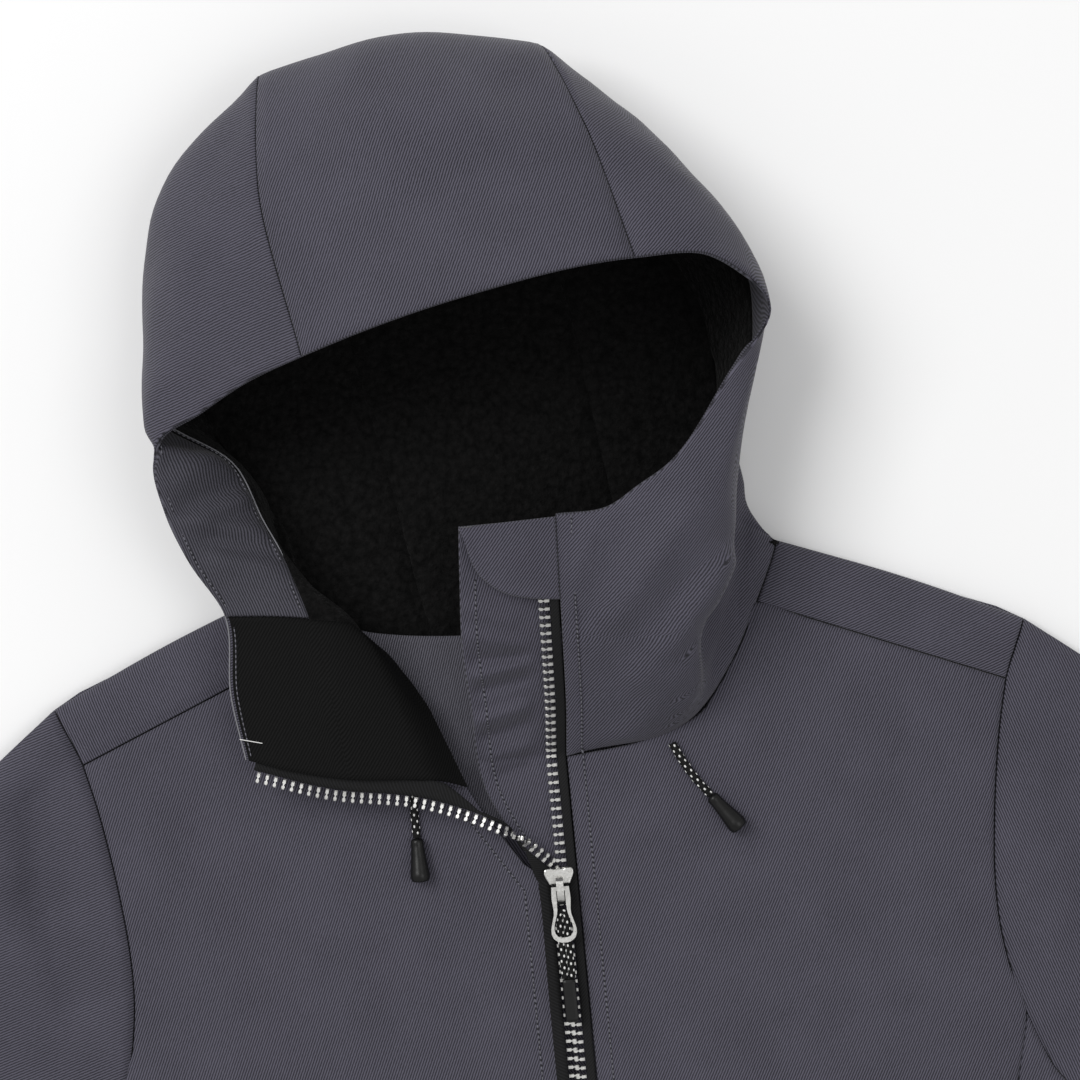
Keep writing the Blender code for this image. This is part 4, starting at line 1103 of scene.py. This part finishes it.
def build_neck_facing():
    """Facing inside the back neck."""
    neck = neck_line(*NECK_FACING_RIBS, NECK_FACING_COLUMNS) + (0, NECK_LAP)
    facing = curve(NECK_FACING_EDGE, NECK_FACING_COLUMNS)
    shares = np.linspace(0, 1, NECK_FACING_ROWS)
    plan = np.stack([facing * (1 - share) + neck * share for share in shares])
    # The neck facing takes the lighter copy of the twill, painted light
    flat_cloth("neck_facing", plan, LAYER + SEAM, LAYER + SEAM + FACING, GREY_LIT)


# Cords
FLECK_SIZE, FLECK_STEP = (1.5, 1.0, 0.3), 0.8
FLECK_TURN = 0.28  # of a full turn, from one fleck to the next
CORD_POINTS, PULL_CORD_POINTS = 28, 60
PULL_BEND_START, PULL_BEND_SIDE, PULL_BEND_SHARE = 2.6, 0.7, 0.75  # how the loop rounds off at its top
# Drawcord end: distance along it and radius
CORD_END_PROFILE = [
    (0.3, 2.2), (0.9, 2.8), (4, 3.1), (9, 3.6), (15, 4.4), (18.5, 4.7), (20.6, 4.0), (21.2, 2.4),
]
ROUND_SIDES, ROUND_STEPS = 32, 40


def flecks(name, line, radius):
    """White yarns that show on a braided cord, in a staggered spiral."""
    middles, along = even(line, FLECK_STEP)
    turn = np.arange(len(middles)) * math.tau * FLECK_TURN
    side = unit(np.cross(along, UPWARD))
    top = np.cross(side, along)
    out = side * np.cos(turn)[:, None] + top * np.sin(turn)[:, None]
    return grains(name, middles + out * radius, along, np.cross(out, along), out, FLECK_SIZE, FLECK)


def cord_piece(name, line, diameter, body, end):
    """A braided cord along a line, with its flecks."""
    made = tube(f"braid_{name}", line, diameter, CORD)
    white = flecks(f"{name}_flecks", line, diameter / 2)
    for piece in (made, white):
        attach(piece, body)
    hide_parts(name)
    return made


def turned(name, start, way, profile, material):
    """A round piece along a level axis, from distances along it and radii."""
    side = np.array((-way[1], way[0], 0.0))
    around = np.linspace(0, math.tau, ROUND_SIDES, endpoint=False)[:, None]
    ring = side * np.cos(around) + np.array(UPWARD) * np.sin(around)
    profile = curve(profile, ROUND_STEPS)
    points = start + profile[:, :1, None] * way + profile[:, 1:, None] * ring
    return mesh_object(name, points.reshape(-1, 3), ring_faces(ROUND_SIDES, ROUND_STEPS), material)


def cord_end(tag, route):
    """Moulded end of a drawcord, wider towards its tip."""
    start, before = np.array(route[-1], float), np.array(route[-2], float)
    way = np.append(unit(start - before), 0.0)
    thick = max(radius for _, radius in CORD_END_PROFILE)
    height = on_top([start + way[:2] * CORD_END_PROFILE[-1][0] / 2], thick + SEAM)[0, 2]
    made = turned(f"moulded_end_{tag}", np.append(start, height), way, CORD_END_PROFILE, PLASTIC)
    return keep(made, "cord_trim", f"cord_end_{tag}")


def build_cords():
    """Both drawcords and the pull's cord."""
    for tag, route in (("left", CORD_LEFT), ("right", CORD_RIGHT)):
        line = curve(on_top(route, CORD_DIAMETER / 2 + SEAM), CORD_POINTS)
        cord_piece(f"drawcord_{tag}", line, CORD_DIAMETER, "jacket", cord_end(tag, route))
    pivot = np.array(frame["record"]["behaviour"]["joints"][0]["pos_m"]) / MM
    x, top, end, drop = PULL_CORD_X, PULL_CORD_TOP, PULL_CORD_END, PULL_CORD_DROP
    run = [(x, y) for y in np.linspace(end, top - PULL_BEND_START, 8)]
    side, below = x * PULL_BEND_SHARE, top - PULL_BEND_SIDE
    bend = [(side, below), (0, top), (-side, below)]
    route = run + bend + [(-x, y) for _, y in run[::-1]]
    line = curve([(a, b, drop) for a, b in route], PULL_CORD_POINTS) + pivot
    cord_piece("pull_cord", line, PULL_CORD_DIAMETER, "zip_pull", frame["nodes"]["pull_end"])


# Slider and pull
# The last number lowers the top of the black plate, painted shadow, under the pull
SLIDER_Y, SLIDER_SOFT, SHADOW_PLATE_DROP = -61.0, 0.6, 1.2
# Right half of the outline of the slider's shoulders and of its plate, from its middle; the plate is black,
# painted shadow where the pull shades the silver slider
SLIDER_HALF = [(2.2, 8.6), (3.4, 9), (6.2, 9), (7.0, 8.2), (7.1, 6.6), (6.4, 4.6), (5.3, 2.4), (5.0, 1.4)]
SHADOW_PLATE_HALF = [(4.2, 1.3), (4.0, -8.6)]
HARDWARE_SOFT = 0.35
BEVEL_SEGMENTS, BEVEL_ANGLE = 2, math.radians(40)


def soften(piece, width):
    """Round a hard piece's edges."""
    edge = piece.modifiers.new("edge", "BEVEL")
    edge.width = width * MM
    edge.segments = BEVEL_SEGMENTS
    edge.angle_limit = BEVEL_ANGLE


def plate(name, half, heights, material, slot, *nodes):
    """A plate of the slider from one half of its outline, between two heights."""
    half = np.array(half, float)
    outline = np.concatenate([half, half[::-1] * (-1, 1)]) + (0, SLIDER_Y)
    points = np.concatenate([np.column_stack([outline, np.full(len(outline), height)]) for height in heights])
    faces = ring_faces(len(outline), len(heights))
    made = mesh_object(name, points, faces, material, flat_shaded=True)
    soften(made, SLIDER_SOFT)
    return keep(made, slot, *nodes)


def build_slider():
    """Slider: its metal shoulders, and a lower black plate under the pull, which is painted shadow on the
    silver slider.
    """
    node_z = [corner[2] / MM for corner in frame["nodes"]["slider"].bound_box]
    low, high = min(node_z), max(node_z)
    plate("slider_shoulders", SLIDER_HALF, (low, high), METAL, "zip_metal", "slider")
    # Black plate: painted shadow of the pull, where the real slider is silver metal
    plate("slider_shadow_plate", SHADOW_PLATE_HALF, (low, high - SHADOW_PLATE_DROP), PLASTIC, "cord_trim")


def finish_hardware():
    """Give the bridge, the pull and its end their materials, and the metal soft edges."""
    for name, material in (("slider_bridge", METAL), ("pull_tab", METAL), ("pull_end", PLASTIC)):
        piece = frame["nodes"][name]
        piece.data.materials.clear()
        piece.data.materials.append(material)
        if material == METAL:
            soften(piece, HARDWARE_SOFT)


# Stage
CAMERA_PLACE = (0.0061, 0.1053, 1.62)
CAMERA_TURN = math.radians(-5.4)
CAMERA_LENS, CAMERA_SENSOR = 111.35, 36.0
FRAME_SIZE = 1080
FLOOR_HALF, FLOOR_Z = 4.0, -0.0003
# Lights: place, size, power
LIGHTS = {
    "light_key": ((-2.0, 1.6, 3.4), 2.2, 106.0),
    "light_fill": ((1.8, -0.5, 3.6), 2.0, 26.0),
}
WORLD_COLOUR, WORLD_STRENGTH = (1.0, 1.0, 1.0, 1.0), 0.50


def build_stage():
    """Camera straight above, soft light and a pale floor."""
    scene = bpy.context.scene
    data = bpy.data.cameras.new("camera")
    data.lens = CAMERA_LENS
    data.sensor_width = CAMERA_SENSOR
    data.dof.use_dof = False
    camera = bpy.data.objects.new("camera", data)
    camera.location = CAMERA_PLACE
    camera.rotation_euler = (0, 0, CAMERA_TURN)
    scene.collection.objects.link(camera)
    scene.camera = camera
    corners = [(x * FLOOR_HALF, y * FLOOR_HALF, FLOOR_Z) for x, y in ((-1, -1), (1, -1), (1, 1), (-1, 1))]
    mesh_object("floor", np.array(corners) / MM, [(0, 1, 2, 3)], FLOOR)
    for name, (place, size, power) in LIGHTS.items():
        lamp = bpy.data.lights.new(name, "AREA")
        lamp.size = size
        lamp.energy = power
        made = bpy.data.objects.new(name, lamp)
        made.location = place
        aim = math.atan2(math.hypot(place[0], place[1]), place[2])
        made.rotation_euler = (aim, 0, math.atan2(place[0], -place[1]))
        scene.collection.objects.link(made)
    world = bpy.data.worlds.new("world")
    world.use_nodes = True
    background = world.node_tree.nodes["Background"]
    background.inputs["Color"].default_value = WORLD_COLOUR
    background.inputs["Strength"].default_value = WORLD_STRENGTH
    scene.world = world
    scene.view_settings.view_transform = "Standard"
    scene.view_settings.look = "None"
    scene.render.engine = "CYCLES"
    scene.render.resolution_x = FRAME_SIZE
    scene.render.resolution_y = FRAME_SIZE


def main():
    """Build the whole view."""
    build_stage()
    build_cords()
    hood = hood_surface()
    build_body()
    build_body_stitches()
    build_hood(hood)
    build_hood_stitches(hood)
    build_flap()
    build_garage()
    build_neck_facing()
    build_zip()
    build_slider()
    finish_hardware()
    bpy.context.view_layer.update()


main()
